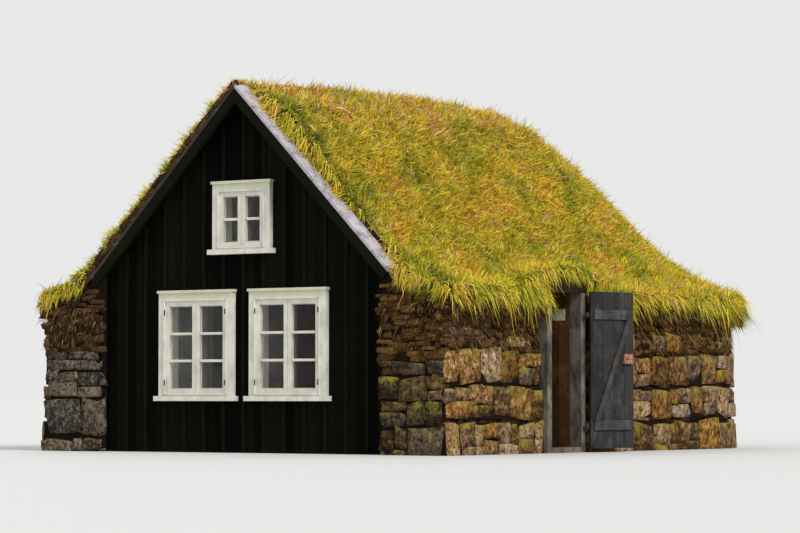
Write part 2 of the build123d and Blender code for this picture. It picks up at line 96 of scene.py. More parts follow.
@dataclass(frozen=True)
class Nodes:
    """The node tree of one material or of the sky."""

    tree: bpy.types.NodeTree

    def add(self, kind: str, inputs: dict | None = None, out: int | str = 0, **settings) -> Socket:
        """Adds one node with its settings and links.

        Args:
            kind: The node's type name after "ShaderNode".
            inputs: Input name or number to the socket that feeds it, or to its value.
            out: Name or number of the output that is given back.
            settings: Node attributes, input names with underscores for spaces, or a ramp's stops.

        Returns:
            The output socket.
        """
        node = self.tree.nodes.new("ShaderNode" + kind)
        for index, (place, code) in enumerate(settings.pop("stops", ())):
            elements = node.color_ramp.elements
            element = elements[index] if index < 2 else elements.new(place)
            element.position = place
            element.color = linear(code)
        for name, value in settings.items():
            label = name.replace("_", " ")
            if label in node.inputs:
                node.inputs[label].default_value = value
            else:
                setattr(node, name, value)
        for key, value in (inputs or {}).items():
            if isinstance(value, Socket):
                self.tree.links.new(value, node.inputs[key])
            else:
                node.inputs[key].default_value = value
        return node.outputs[out]

    def total(self, offset: float, *parts: tuple) -> Socket:
        """Adds up sockets: each is multiplied by its weight and added to what came before.

        Args:
            offset: The number to start from.
            parts: Pairs of a socket and its weight.

        Returns:
            The socket of the sum.
        """
        result = offset
        for socket, weight in parts:
            result = self.add("Math", {0: socket, 1: weight, 2: result}, operation="MULTIPLY_ADD")
        return result

    def layered(self, base: Socket, *layers: tuple) -> Socket:
        """Lays colours over one another.

        Args:
            base: The lowest colour.
            layers: Pairs of a share from 0 to 1 and a hex colour or a colour's socket.

        Returns:
            The colour on top.
        """
        for share, colour in layers:
            over = linear(colour) if isinstance(colour, str) else colour
            base = self.add("Mix", {0: share, 6: base, 7: over}, 2, data_type="RGBA")
        return base

    def point(self, scale: tuple = (1.0, 1.0, 1.0), turn: float = 0.0, slope: bool = False) -> Socket:
        """Gives object coordinates scaled per axis, turned about Z or rolled on to a roof slope.

        Args:
            scale: Pattern repeats per metre on each axis.
            turn: Turn about Z in radians, taken off before scaling.
            slope: Whether to read distance down a roof slope in place of X.

        Returns:
            The vector socket.
        """
        place = self.add("TexCoord", out="Object")
        if slope:
            x, y, z = (self.add("SeparateXYZ", {0: place}, axis) for axis in range(3))
            side = self.add("Math", {0: x}, operation="ABSOLUTE")
            down = self.total(0.0, (side, 1.0), (z, -1.0))
            across = self.total(0.0, (side, 1.0), (z, 1.0))
            place = self.add("CombineXYZ", {0: down, 1: y, 2: across})
        if turn:
            place = self.add("Mapping", {0: place}, Rotation=(0, 0, -turn))
        return self.add("Mapping", {0: place}, Scale=scale)

    def upward(self) -> Socket:
        """Gives how far a face looks up, from -1 to 1."""
        return self.add("SeparateXYZ", {0: self.add("NewGeometry", out="Normal")}, 2)

    def coat(
        self, colour: Socket | None = None, height: Socket | None = None, depth: float = 0.0,
        strength: float = 0.9, **values,
    ) -> None:
        """Sets the shader's own values, then links its colour and its relief.

        Args:
            colour: Socket of the base colour, where it varies.
            height: Socket of the relief, where there is one.
            depth: The relief in metres.
            strength: Strength of the relief.
            values: Shader inputs with underscores for spaces.
        """
        shader = self.tree.nodes["Principled BSDF"]
        for name, value in values.items():
            shader.inputs[name.replace("_", " ")].default_value = value
        if colour is not None:
            self.tree.links.new(colour, shader.inputs["Base Color"])
        if height is not None:
            relief = self.add("Bump", {"Height": height}, Distance=depth, Strength=strength)
            self.tree.links.new(relief, shader.inputs["Normal"])


# Kinds of finish


@dataclass(frozen=True)
class Finish:
    """A surface finish; each kind below fills in the node tree."""

    name: str
    slot: str

    def material(self) -> bpy.types.Material:
        """Returns the finish's material, made once."""
        made = bpy.data.materials.get(self.name)
        if made is None:
            made = bpy.data.materials.new(self.name)
            made.use_nodes = True
            self.paint(Nodes(made.node_tree))
        return made

    def paint(self, nodes: Nodes) -> None:
        """Fills in the node tree."""
        raise NotImplementedError

    def dress(self, *names: str) -> None:
        """Puts the finish on CAD nodes by name."""
        for name in names:
            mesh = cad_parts[name].data
            mesh.materials.clear()
            mesh.materials.append(self.material())


@dataclass(frozen=True)
class Boards(Finish):
    """Sawn softwood boards: long fine grain, a tone for each board and dark joints between them."""

    dark: str
    light: str
    rough: float = 0.75
    grain: Axis = Axis.Z
    grain_width: float = 7 * MM
    grain_length: float = 260 * MM
    pitch: float = 0.0
    pitch_axis: Axis = Axis.X
    joint_width: float = 5 * MM
    joint_depth: float = 3.0
    joint_colour: str = "050504"
    stain: str = ""
    stain_share: float = 0.35
    relief: float = 1.2 * MM
    turn: float = 0.0
    tone_spread: float = 0.5
    gloss: float = 0.35

    def paint(self, nodes: Nodes) -> None:
        """Lays stretched noise along the grain, then each board's tone, the stains and the joints.

        Args:
            nodes: The material's node tree.
        """
        slope = self.grain is Axis.SLOPE
        scale = [1 / self.grain_width] * 3
        scale[0 if slope else self.grain.value] = 1 / self.grain_length
        stretched = nodes.point(tuple(scale), self.turn, slope)
        plain = nodes.point(turn=self.turn, slope=slope)
        grain = nodes.add("TexNoise", {0: stretched}, Scale=1.0, Detail=5.0, Roughness=0.6)
        worn = nodes.add("TexNoise", {0: plain}, Scale=3.2, Detail=4.0, Roughness=0.65)
        factor = nodes.total(0.0, (grain, 0.65), (worn, 0.35))
        height = grain
        layers = []
        if self.stain:
            place = nodes.point((1.0, 1.0, 0.45), self.turn, slope)
            mask = nodes.add("TexNoise", {0: place}, Scale=5.5, Detail=6.0, Roughness=0.7)
            start = 0.62 - self.stain_share * 0.4
            share = nodes.add("MapRange", {0: mask}, From_Min=start, From_Max=start + 0.16, To_Max=0.8)
            layers.append((share, self.stain))
        if self.pitch:
            across = nodes.add("SeparateXYZ", {0: plain}, self.pitch_axis.value)
            position = nodes.total(0.0, (across, 1 / self.pitch))
            board = nodes.add("Math", {0: position}, operation="FLOOR")
            tone = nodes.add("TexWhiteNoise", {"W": board}, noise_dimensions="1D")
            factor = nodes.total(-0.5 * self.tone_spread, (factor, 1.0), (tone, self.tone_spread))
            off_middle = nodes.total(-0.5, (position, 1.0), (board, -1.0))
            edge = nodes.add("Math", {0: off_middle}, operation="ABSOLUTE")
            limit = 0.5 - 0.5 * self.joint_width / self.pitch
            gap = nodes.add("Math", {0: edge, 1: limit}, operation="GREATER_THAN")
            height = nodes.total(0.0, (height, 1.0), (gap, -self.joint_depth))
            layers.append((gap, self.joint_colour))
        colour = nodes.add("ValToRGB", {0: factor}, stops=[(0.3, self.dark), (0.72, self.light)])
        colour = nodes.layered(colour, *layers)
        nodes.coat(colour, height, self.relief, 0.6, Roughness=self.rough, Specular_IOR_Level=self.gloss)


@dataclass(frozen=True)
class OilPaint(Finish):
    """White linseed-oil paint on planed pine: satin, brushed along the wood, green where rain lies."""

    colour: str = "d6d4c8"
    shade: str = "b9b6a8"
    algae: str = "a9ad84"
    head_tint: str = "b9bb98"
    head_level: float = 0.0
    head_fade: float = 0.03

    def paint(self, nodes: Nodes) -> None:
        """Mixes faint brush marks and blotches, with algae on faces that look up and on the head.

        Args:
            nodes: The material's node tree.
        """
        place = nodes.point((1.0, 1.0, 0.6))
        brushed = nodes.point((420.0, 420.0, 14.0))
        blotch = nodes.add("TexNoise", {0: place}, Scale=9.0, Detail=6.0, Roughness=0.62)
        brush = nodes.add("TexNoise", {0: brushed}, Scale=1.0, Detail=3.0, Roughness=0.5)
        colour = nodes.add("ValToRGB", {0: blotch}, stops=[(0.32, self.shade), (0.62, self.colour)])
        wet = nodes.add("MapRange", {0: nodes.upward()}, From_Min=0.3, From_Max=0.9, To_Max=0.75)
        share = nodes.add("Math", {0: wet, 1: blotch}, operation="MULTIPLY")
        colour = nodes.layered(colour, (share, self.algae))
        if self.head_level:
            height = nodes.add("SeparateXYZ", {0: nodes.point()}, 2)
            fade_end = self.head_level + self.head_fade
            over = nodes.add("MapRange", {0: height}, From_Min=self.head_level, From_Max=fade_end, To_Max=0.6)
            colour = nodes.layered(colour, (over, self.head_tint))
        nodes.coat(colour, brush, 0.4 * MM, 0.35, Roughness=0.42)


@dataclass(frozen=True)
class Rust(Finish):
    """Forged iron left to rust: matt, orange-brown, scaly."""

    dark: str = "5c3b30"
    light: str = "b57c68"

    def paint(self, nodes: Nodes) -> None:
        """Mixes dark scale and orange rust by one coarse noise.

        Args:
            nodes: The material's node tree.
        """
        coarse = nodes.add("TexNoise", {0: nodes.point()}, Scale=38.0, Detail=6.0, Roughness=0.7)
        colour = nodes.add("ValToRGB", {0: coarse}, stops=[(0.36, self.dark), (0.6, self.light)])
        nodes.coat(colour, coarse, 1.0 * MM, 0.7, Metallic=0.25, Roughness=0.8)


@dataclass(frozen=True)
class WindowGlass(Finish):
    """Old drawn sheet glass: clear, faintly wavy, IOR 1.52."""

    tint: str = "dfe4e2"
    edge_tint: str = "a58266"

    def paint(self, nodes: Nodes) -> None:
        """Keeps the shader clear and adds the slow waves of drawn glass.

        Args:
            nodes: The material's node tree.
        """
        wave = nodes.add("TexNoise", {0: nodes.point((1.0, 1.0, 0.6))}, Scale=7.0, Detail=1.0)
        # The share that is not alpha passes straight through, so daylight reaches the lining and the room
        nodes.coat(
            None, wave, 2.0 * MM, 0.05, Base_Color=linear(self.tint), Specular_Tint=linear(self.edge_tint),
            Transmission_Weight=1.0, Roughness=0.015, IOR=1.52, Alpha=0.15,
        )


@dataclass(frozen=True)
class FieldStone(Finish):
    """Gathered lava stone: rough, pitted, with moss and lichen; a tone attribute shifts each stone."""

    stops: tuple = (
        (0.12, "1c130c"), (0.3, "3f2a19"), (0.5, "6c4b28"),
        (0.66, "966834"), (0.82, "ab8850"), (1.0, "d6b298"),
    )
    # Near-black brown of soil in the pits, which also stands for painted shade in those hollows
    pit_soil_and_shade: str = "1d130b"
    moss: str = "979138"
    moss_share: float = 0.8
    lichen: str = "b3ad95"
    lichen_share: float = 0.5

    def paint(self, nodes: Nodes) -> None:
        """Adds each stone's tone to blotches and grit, then lays soil with painted shade in the pits, moss
        and lichen by more noise.

        Args:
            nodes: The material's node tree.
        """
        tone = nodes.add("Attribute", out="Fac", attribute_name="tone")
        place = nodes.point()
        blotch = nodes.add("TexNoise", {0: place}, Scale=13.0, Detail=7.0, Roughness=0.7)
        grit = nodes.add("TexNoise", {0: place}, Scale=75.0, Detail=5.0, Roughness=0.78)
        factor = nodes.total(-1.06, (tone, 0.42), (blotch, 1.9), (grit, 0.95))
        colour = nodes.add("ValToRGB", {0: factor}, stops=self.stops)
        own = nodes.add("TexWhiteNoise", {"W": nodes.total(0.0, (tone, TONE_SPREAD))}, noise_dimensions="1D")
        rust = nodes.total(0.58, (own, 0.52))
        colour = nodes.add("HueSaturation", {"Color": colour, "Saturation": rust})
        pits = nodes.add("TexNoise", {0: place}, Scale=21.0, Detail=6.0, Roughness=0.7)
        # Soil in the low pits of the relief, darkened further with painted shade of those hollows
        pit_soil_and_shade = nodes.add("MapRange", {0: pits}, From_Min=0.49, From_Max=0.41, To_Max=0.9)
        patches = nodes.add("TexNoise", {0: place}, Scale=5.5, Detail=8.0, Roughness=0.8)
        mossy = nodes.total(0.0, (patches, 1.0), (nodes.upward(), 0.12))
        start = 0.65 - 0.14 * self.moss_share
        moss = nodes.add("MapRange", {0: mossy}, From_Min=start, From_Max=start + 0.12, To_Max=0.75)
        spots = nodes.add("TexNoise", {0: place}, Scale=31.0, Detail=5.0, Roughness=0.75)
        start = 0.72 - 0.2 * self.lichen_share
        lichen = nodes.add("MapRange", {0: spots}, From_Min=start, From_Max=start + 0.08, To_Max=0.7)
        colour = nodes.layered(colour, (pit_soil_and_shade, self.pit_soil_and_shade), (moss, self.moss), (lichen, self.lichen))
        height = nodes.total(0.0, (blotch, 1.0), (grit, 0.5), (pits, 0.6))
        nodes.coat(colour, height, 28 * MM, 1.0, Roughness=0.95, Specular_IOR_Level=0.12)


@dataclass(frozen=True)
class CutTurf(Finish):
    """Cut turf seen from its side: dark peat full of roots that dry to straw and rust brown."""

    peat: str = "1a100a"
    root: str = "4d331c"
    straw: str = "8d6c3c"
    fibre_scale: tuple = (14.0, 14.0, 42.0)

    def paint(self, nodes: Nodes) -> None:
        """Mixes crumbs of peat with fibres drawn out level, by noise stretched sideways.

        Args:
            nodes: The material's node tree.
        """
        tone = nodes.add("Attribute", out="Fac", attribute_name="tone")
        stretched = nodes.point(self.fibre_scale)
        fibre = nodes.add("TexNoise", {0: stretched}, Scale=1.6, Detail=8.0, Roughness=0.72)
        crumb = nodes.add("TexNoise", {0: nodes.point()}, Scale=60.0, Detail=4.0, Roughness=0.75)
        factor = nodes.total(0.0, (fibre, 0.7), (crumb, 0.3), (tone, 0.18))
        stops = [(0.38, self.peat), (0.58, self.root), (0.78, self.straw)]
        colour = nodes.add("ValToRGB", {0: factor}, stops=stops)
        height = nodes.total(0.0, (fibre, 1.0), (crumb, 0.5))
        nodes.coat(colour, height, 22 * MM, Roughness=1.0, Specular_IOR_Level=0.1)


@dataclass(frozen=True)
class GrownTurf(Finish):
    """The mat of moss and dead stalks under the grass of a roof, peat where it is cut."""

    moss: str = "6b5c1c"
    stalk: str = "b8983a"
    peat: str = "1c120b"
    root: str = "4e3620"

    def paint(self, nodes: Nodes) -> None:
        """Shows mat where the face looks up and cut peat where it is upright.

        Args:
            nodes: The material's node tree.
        """
        mat = nodes.add("TexNoise", {0: nodes.point()}, Scale=16.0, Detail=8.0, Roughness=0.75)
        top = nodes.add("ValToRGB", {0: mat}, stops=[(0.35, self.moss), (0.65, self.stalk)])
        side = nodes.add("ValToRGB", {0: mat}, stops=[(0.35, self.peat), (0.7, self.root)])
        share = nodes.add("MapRange", {0: nodes.upward()}, From_Min=0.1, From_Max=0.4)
        nodes.coat(nodes.layered(side, (share, top)), mat, 30 * MM, Roughness=1.0, Specular_IOR_Level=0.1)


@dataclass(frozen=True)
class GrassBlade(Finish):
    """Late-summer meadow grass: olive where it is young, then golden, orange and pinkish straw."""

    stops: tuple = (
        (0.0, "566419"), (0.18, "8a9526"), (0.36, "bcb52f"), (0.52, "dcc63a"),
        (0.68, "e2b640"), (0.82, "d69a46"), (0.92, "b98a62"), (1.0, "e2c8a8"),
    )
    root_shade: str = "5a4e18"
    shade_share: float = 0.55
    mottle: float = 0.5

    def paint(self, nodes: Nodes) -> None:
        """Picks each blade's colour by its tone and darkens it towards the root.

        Args:
            nodes: The material's node tree.
        """
        tone = nodes.add("Attribute", out="Fac", attribute_name="tone")
        along = nodes.add("Attribute", out="Fac", attribute_name="along")
        colour = nodes.add("ValToRGB", {0: tone}, stops=self.stops)
        own = nodes.add("TexWhiteNoise", {"W": nodes.total(0.0, (tone, TONE_SPREAD))}, noise_dimensions="1D")
        value = nodes.total(1 - self.mottle / 2, (own, self.mottle))
        colour = nodes.add("HueSaturation", {"Color": colour, "Value": value})
        share = nodes.add("MapRange", {0: along}, From_Max=0.5, To_Min=self.shade_share, To_Max=0.0)
        nodes.coat(nodes.layered(colour, (share, self.root_shade)), Roughness=0.75, Specular_IOR_Level=0.12)


@dataclass(frozen=True)
class Enamel(Finish):
    """A small enamelled steel plate, cream and bare, faintly stained."""

    stain: str = "a0967f"
    cream: str = "cac0a8"

    def paint(self, nodes: Nodes) -> None:
        """Keeps a clean cream field with faint stains.

        Args:
            nodes: The material's node tree.
        """
        stains = nodes.add("TexNoise", {0: nodes.point()}, Scale=22.0, Detail=5.0, Roughness=0.6)
        colour = nodes.add("ValToRGB", {0: stains}, stops=[(0.35, self.stain), (0.6, self.cream)])
        nodes.coat(colour, Roughness=0.4)


@dataclass(frozen=True)
class FloorPaint(Finish):
    """Matt pale paint of the studio floor, even all over."""

    def paint(self, nodes: Nodes) -> None:
        """Sets one pale grey."""
        nodes.coat(Base_Color=linear("cbcbc9"), Roughness=0.9)


# Mesh helpers


def placed(name: str, data: bpy.types.ID) -> bpy.types.Object:
    """Makes an object of a mesh, lamp or camera and links it to the scene.

    Args:
        name: The object's name.
        data: The mesh, lamp or camera.

    Returns:
        The object.
    """
    thing = bpy.data.objects.new(name, data)
    bpy.context.scene.collection.objects.link(thing)
    return thing


def new_piece(
    name: str, points: np.ndarray, faces: np.ndarray, finish: Finish, attributes: dict | None = None,
    smooth: bool = False, body: str = HOUSE,
) -> None:
    """Makes an object from arrays and hands it to its body.

    Args:
        name: The piece's name.
        points: Vertex places, shape (n, 3), in metres.
        faces: Vertex numbers, shape (m, 3) or (m, 4).
        finish: The piece's finish.
        attributes: Name to one number per vertex.
        smooth: Whether the faces shade smoothly.
        body: The body that it rides on.
    """
    mesh = bpy.data.meshes.new(name)
    sides = faces.shape[1]
    mesh.vertices.add(len(points))
    mesh.vertices.foreach_set("co", points.astype(np.float32).ravel())
    mesh.loops.add(faces.size)
    mesh.loops.foreach_set("vertex_index", faces.astype(np.int32).ravel())
    mesh.polygons.add(len(faces))
    mesh.polygons.foreach_set("loop_start", np.arange(0, faces.size, sides, dtype=np.int32))
    mesh.polygons.foreach_set("use_smooth", np.full(len(faces), smooth))
    mesh.update(calc_edges=True)
    for key, values in (attributes or {}).items():
        layer = mesh.attributes.new(key, "FLOAT", "POINT")
        layer.data.foreach_set("value", values.astype(np.float32).ravel())
    mesh.materials.append(finish.material())
    piece = placed(name, mesh)
    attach(piece, body)
    LOG.info("%s: %d faces", name, len(faces))


def repeat_faces(faces: np.ndarray, vertex_count: int, copies: int) -> np.ndarray:
    """Numbers the faces of many copies of one shape: copy k adds k times the vertex count."""
    shift = (np.arange(copies) * vertex_count)[:, None, None]
    return (faces[None] + shift).reshape(-1, faces.shape[1])


def turned_out(points: np.ndarray, faces: np.ndarray) -> np.ndarray:
    """Turns round each quad whose normal looks towards the middle of the shape.

    Args:
        points: Vertices of a convex shape.
        faces: Its quads.

    Returns:
        The quads, all facing outwards.
    """
    corners = points[faces]
    normal = np.cross(corners[:, 1] - corners[:, 0], corners[:, 2] - corners[:, 0])
    inward = ((corners.mean(1) - points.mean(0)) * normal).sum(1) < 0
    return np.where(inward[:, None], faces[:, ::-1], faces)


def cube_shell(steps: int) -> tuple:
    """Makes the skin of a cube from -1 to 1 as one closed grid.

    Each of six faces is a grid of steps by steps; shared edges are merged by rounding.

    Args:
        steps: Squares along each edge.

    Returns:
        Points of shape (n, 3) and quads of shape (m, 4), facing outwards.
    """
    line = np.linspace(-1, 1, steps + 1)
    u, v = np.meshgrid(line, line, indexing="ij")
    one = np.ones_like(u)
    sides = [
        np.stack(p, -1).reshape(-1, 3)
        for p in ((one, u, v), (-one, v, u), (v, one, u), (u, -one, v), (u, v, one), (v, u, -one))
    ]
    i, j = np.meshgrid(np.arange(steps), np.arange(steps), indexing="ij")
    a = (i * (steps + 1) + j).ravel()
    quad = np.stack([a, a + steps + 1, a + steps + 2, a + 1], -1)
    faces = repeat_faces(quad, (steps + 1) ** 2, len(sides))
    merged, index = np.unique(np.round(np.concatenate(sides), 6), axis=0, return_inverse=True)
    return merged, turned_out(merged, index.ravel()[faces])


def ripple(points: np.ndarray, size: float, rng: Random, waves: int = 7) -> np.ndarray:
    """Gives smooth noise from about -1 to 1.

    The value is the mean of sine waves along random directions, of about the given wavelength.

    Args:
        points: Places, shape (..., 3).
        size: Wavelength in metres.
        rng: The random source.
        waves: How many waves are added.

    Returns:
        One number per place.
    """
    ways = unit(rng.normal(size=(waves, 3)))
    rates = 2 * np.pi / (size * rng.uniform(0.6, 1.6, waves))
    phases = rng.uniform(0, 2 * np.pi, waves)
    return np.sin(points @ (ways * rates[:, None]).T + phases).mean(-1) * 1.8


def unit(vectors: np.ndarray) -> np.ndarray:
    """Scales vectors to length one."""
    return vectors / np.maximum(np.linalg.norm(vectors, axis=-1, keepdims=True), 1e-9)


def bar(start: tuple, end: tuple, across: tuple, width: float, depth: float, chamfer: float) -> tuple:
    """Carries a chamfered rectangle along a straight path.

    The profile is a rectangle of width by depth with its corners cut; it is placed at both ends.

    Args:
        start: First end of the middle line.
        end: Last end of the middle line.
        across: Unit direction of the width.
        width: Size along the across direction.
        depth: Size square to it.
        chamfer: Cut at each corner.

    Returns:
        Points and quads, with end caps.
    """
    a, b, side = (np.array(v, float) for v in (start, end, across))
    up = np.cross(unit(b - a), side)
    w, d, c = width / 2, depth / 2, chamfer
    outline = np.array([
        (w - c, d), (w, d - c), (w, c - d), (w - c, -d), (c - w, -d), (-w, c - d), (-w, d - c), (c - w, d),
    ])
    ring = outline[:, :1] * side + outline[:, 1:] * up
    points = np.concatenate([a + ring, b + ring])
    k = np.arange(8)
    walls = np.stack([k, (k + 1) % 8, (k + 1) % 8 + 8, k + 8], -1)
    caps = np.array([(7, 4, 3, 0), (0, 3, 2, 1), (7, 6, 5, 4)])
    return points, turned_out(points, np.concatenate([walls, caps[:, ::-1], caps + 8]))


def join_parts(parts: list) -> tuple:
    """Puts several sets of points and faces into one, with the face numbers moved up.

    Args:
        parts: Pairs of points and faces.

    Returns:
        All points and all faces.
    """
    counts = np.cumsum([0] + [len(p) for p, _ in parts[:-1]])
    points = np.concatenate([p for p, _ in parts])
    return points, np.concatenate([f + n for (_, f), n in zip(parts, counts)])


# A blade or root is a strip of five corners: two at the root, two half way up and one at the tip
BLADE_FACES = np.array([(0, 1, 3), (0, 3, 2), (2, 3, 4)])
BLADE_ALONG = np.array([0.0, 0.0, 0.5, 0.5, 1.0])


def blade_strips(
    places: np.ndarray, way: np.ndarray, bend: np.ndarray, length: np.ndarray, width: np.ndarray, rng: Random
) -> np.ndarray:
    """Makes one bent, tapering strip from each root.

    A strip's middle line is root + length * (way * t + bend * t squared), for t of 0, a half and 1;
    its width falls from full at the root to nothing at the tip, square to the way.

    Args:
        places: Roots (n, 3).
        way: First direction of each strip (n, 3).
        bend: How each strip curves away from it (n, 3).
        length: Length of each strip (n,).
        width: Width at the root (n,).
        rng: The random source.

    Returns:
        Corners, shape (n, 5, 3).
    """
    t = np.array([0.0, 0.5, 1.0])
    reach = length[:, None] * np.stack([t, t**2])[:, None]
    line = places[:, None] + way[:, None] * reach[0][..., None] + bend[:, None] * reach[1][..., None]
    side = unit(np.cross(way, rng.normal(size=way.shape)))
    half = side[:, None] * (width[:, None] * np.array([0.5, 0.42]))[..., None]
    pairs = [line[:, k] + sign * half[:, k] for k in (0, 1) for sign in (-1, 1)]
    return np.stack([*pairs, line[:, 2]], 1)


def strip_piece(name: str, strips: np.ndarray, tones: np.ndarray, finish: Finish) -> None:
    """Makes one piece of many blades or roots.

    Args:
        name: The piece's name.
        strips: Corners, shape (n, 5, 3).
        tones: One tone for each strip.
        finish: The piece's finish.
    """
    corners = len(BLADE_ALONG)
    shades = {"tone": np.repeat(tones, corners), "along": np.tile(BLADE_ALONG, len(strips))}
    new_piece(name, strips.reshape(-1, 3), repeat_faces(BLADE_FACES, corners, len(strips)), finish, shades)


# Finishes


TARRED = Boards(
    "pine_boards_wood_tar", "tarred_boards", dark="030402", light="0e0f08", rough=0.85,
    pitch=140 * MM, joint_width=7 * MM, relief=1.6 * MM, tone_spread=0.6, gloss=0.04,
)
TARRED_STRIP = Boards(
    "pine_strips_wood_tar", "tarred_boards", dark="060704", light="15160d", rough=0.8, gloss=0.05,
)
TARRED_BARGE = Boards(
    "pine_bargeboards_wood_tar", "tarred_boards", dark="070803", light="17180c", rough=0.8,
    grain=Axis.SLOPE, gloss=0.05,
)
WEATHERED_CAP = Boards(
    "pine_caps_weathered_grey", "weathered_wood", dark="908a92", light="c6c0c8", rough=0.85,
    grain=Axis.SLOPE, stain="6f696b", stain_share=0.38, gloss=0.2,
)
# The left verge cap: the weathered grey pine darkened all over with painted shade, as it lies away from the
# sun
PAINTED_SHADE_CAP = Boards(
    "pine_cap_painted_shade", "weathered_wood", dark="26211d", light="4b433c", rough=0.9,
    grain=Axis.SLOPE, stain="6f696b", stain_share=0.2, gloss=0.1,
)
WEATHERED_POST = Boards(
    "pine_posts_weathered_grey", "weathered_wood", dark="453d36", light="8c8378", rough=0.88,
    stain="2a241f", stain_share=0.45, gloss=0.15,
)
# The door head: aged pine darkened to near black with painted shade, where the turf overhang shades it
HEAD_BEAM = Boards(
    "pine_head_painted_shade", "weathered_wood", dark="120d09", light="33281d", rough=0.9,
    grain=Axis.Y, gloss=0.1,
)
# Timber of the room and loft: sawn pine darkened with painted shade of the dim interior
ROOM_TIMBER = Boards("room_pine_sawn_painted_shade", "timber", dark="3a2a1b", light="6b5036", rough=0.8, gloss=0.15)
# Roof boards seen from inside: sawn pine darkened with painted shade of the dim loft
ROOF_BOARDS = Boards(
    "roof_boards_pine_painted_shade", "timber", dark="22190f", light="40301c", rough=0.85,
    grain=Axis.SLOPE, pitch=150 * MM, pitch_axis=Axis.Y, gloss=0.15,
)
# Floor boards: pine darkened with painted shade of the dim room
FLOOR_BOARDS = Boards(
    "floor_boards_pine_painted_shade", "timber", dark="3b2c1d", light="65503a", rough=0.7,
    grain=Axis.Y, pitch=140 * MM, gloss=0.2,
)
REVEAL_BOARDS = Boards(
    "reveal_boards_aged_brown", "brown_boards", dark="1e130a", light="4f3419", rough=0.9,
    pitch=170 * MM, stain="6b4a28", stain_share=0.25, gloss=0.12,
)
WHITE_PAINT = OilPaint("pine_white_linseed_paint", "white_paint")
RUST = Rust("forged_iron_rusted", "iron")
PINTLE_IRON = Rust("forged_iron_dark", "iron", dark="1e1a18", light="51392e")
GLASS = WindowGlass("drawn_sheet_glass", "window_glass")
STONE_BROWN = FieldStone("field_stone_brown", "masonry")
# Stones of the right front end: the field stone darkened all over with painted shade, as that end faces away
# from the sun
STONE_SHADE = FieldStone(
    "field_stone_painted_shade", "masonry",
    stops=((0.12, "150f0a"), (0.35, "2c1e13"), (0.6, "4e3820"), (0.85, "6b5130"), (1.0, "80693f")),
)
STONE_GREY = FieldStone(
    "field_stone_grey", "masonry", moss_share=0.2, lichen_share=0.8, lichen="a9a392",
    stops=((0.12, "1f1914"), (0.35, "3a3026"), (0.6, "625543"), (0.85, "80715a"), (1.0, "978871")),
)
TURF_STRIP = CutTurf("cut_turf_lumps", "masonry")
SHADED_TURF = CutTurf("cut_turf_shaded", "masonry", peat="120b08", root="3a2618", straw="6e5333")
JOINT_TURF = CutTurf("joint_turf", "masonry", peat="0f0906", root="2b1c10", straw="5a4222")
WALL_CORE = CutTurf("wall_core_peat", "masonry", peat="0d0805", root="1f140c", straw="3a2817")
ROOF_MAT = GrownTurf("roof_turf_mat", "turf")
BLADES = GrassBlade("meadow_grass", "turf")
FIBRES = GrassBlade(
    "dead_grass_and_roots", "masonry", root_shade="1c120a",
    stops=((0.0, "24170d"), (0.45, "4a3319"), (0.75, "75592a"), (1.0, "a3874e")),
)
PLATE = Enamel("plate_cream_enamel", "masonry")
PALE_FLOOR = FloorPaint("studio_floor_paint", "stage")


# Sub-assemblies


@dataclass(frozen=True)
class DoorSweep:
    """The space that the door passes through as it swings."""

    hinge: tuple
    radius: float
    face: float
    top: float
    behind: float = 0.05
    stand_off: float = 0.026
    margin: float = 0.09

    @classmethod
    def of_door(
        cls, pin_radius: float = 0.008, reach: float = 0.03, inset: float = 0.01, head_room: float = 0.015
    ) -> "DoorSweep":
        """Reads the sweep from the CAD door, its pintles and its back post.

        Args:
            pin_radius: Radius of a pintle.
            reach: Room beyond the leaf's free edge.
            inset: How far behind the post's face the sweep starts.
            head_room: Room above the leaf.

        Returns:
            The sweep.
        """
        leaf, (pin_low, pin_high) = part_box("door_leaf")[1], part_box("door_pintles")
        hinge = (pin_high.x - pin_radius, (pin_low.y + pin_high.y) / 2)
        radius = math.hypot(leaf.x - hinge[0], leaf.y - hinge[1]) + reach
        return cls(hinge, radius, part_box("door_post_back")[1].x - inset, leaf.z + head_room)

    def limit(self, strips: np.ndarray) -> np.ndarray:
        """Gives the furthest x that the door leaves free: the open leaf stands off the wall behind it."""
        beyond_hinge = strips[..., 1] > self.hinge[1] + self.behind
        return np.where(beyond_hinge, self.hinge[0] - self.stand_off, self.face)

    def reached(self, strips: np.ndarray, more: float = 0.0) -> np.ndarray:
        """Tells which corners lie in the door's height and reach, and a little more, whatever their x."""
        flat = np.linalg.norm(strips[..., :2] - np.array(self.hinge), axis=-1)
        return (strips[..., 2] < self.top + more) & (flat < self.radius + more)

    def press(self, strips: np.ndarray) -> np.ndarray:
        """Flattens strips against the wall where the open leaf stands.

        Args:
            strips: Corners, shape (n, corners, 3).

        Returns:
            The strips, flattened.
        """
        pressed = self.reached(strips, self.margin) & (strips[..., 1] > self.hinge[1] + self.behind)
        strips[..., 0] = np.where(pressed, np.minimum(strips[..., 0], self.limit(strips)), strips[..., 0])
        return strips

    def clear(self, strips: np.ndarray) -> np.ndarray:
        """Tells which strips, of shape (n, corners, 3), keep out of the door's way."""
        return ~(self.reached(strips) & (strips[..., 0] > self.limit(strips))).any(1)


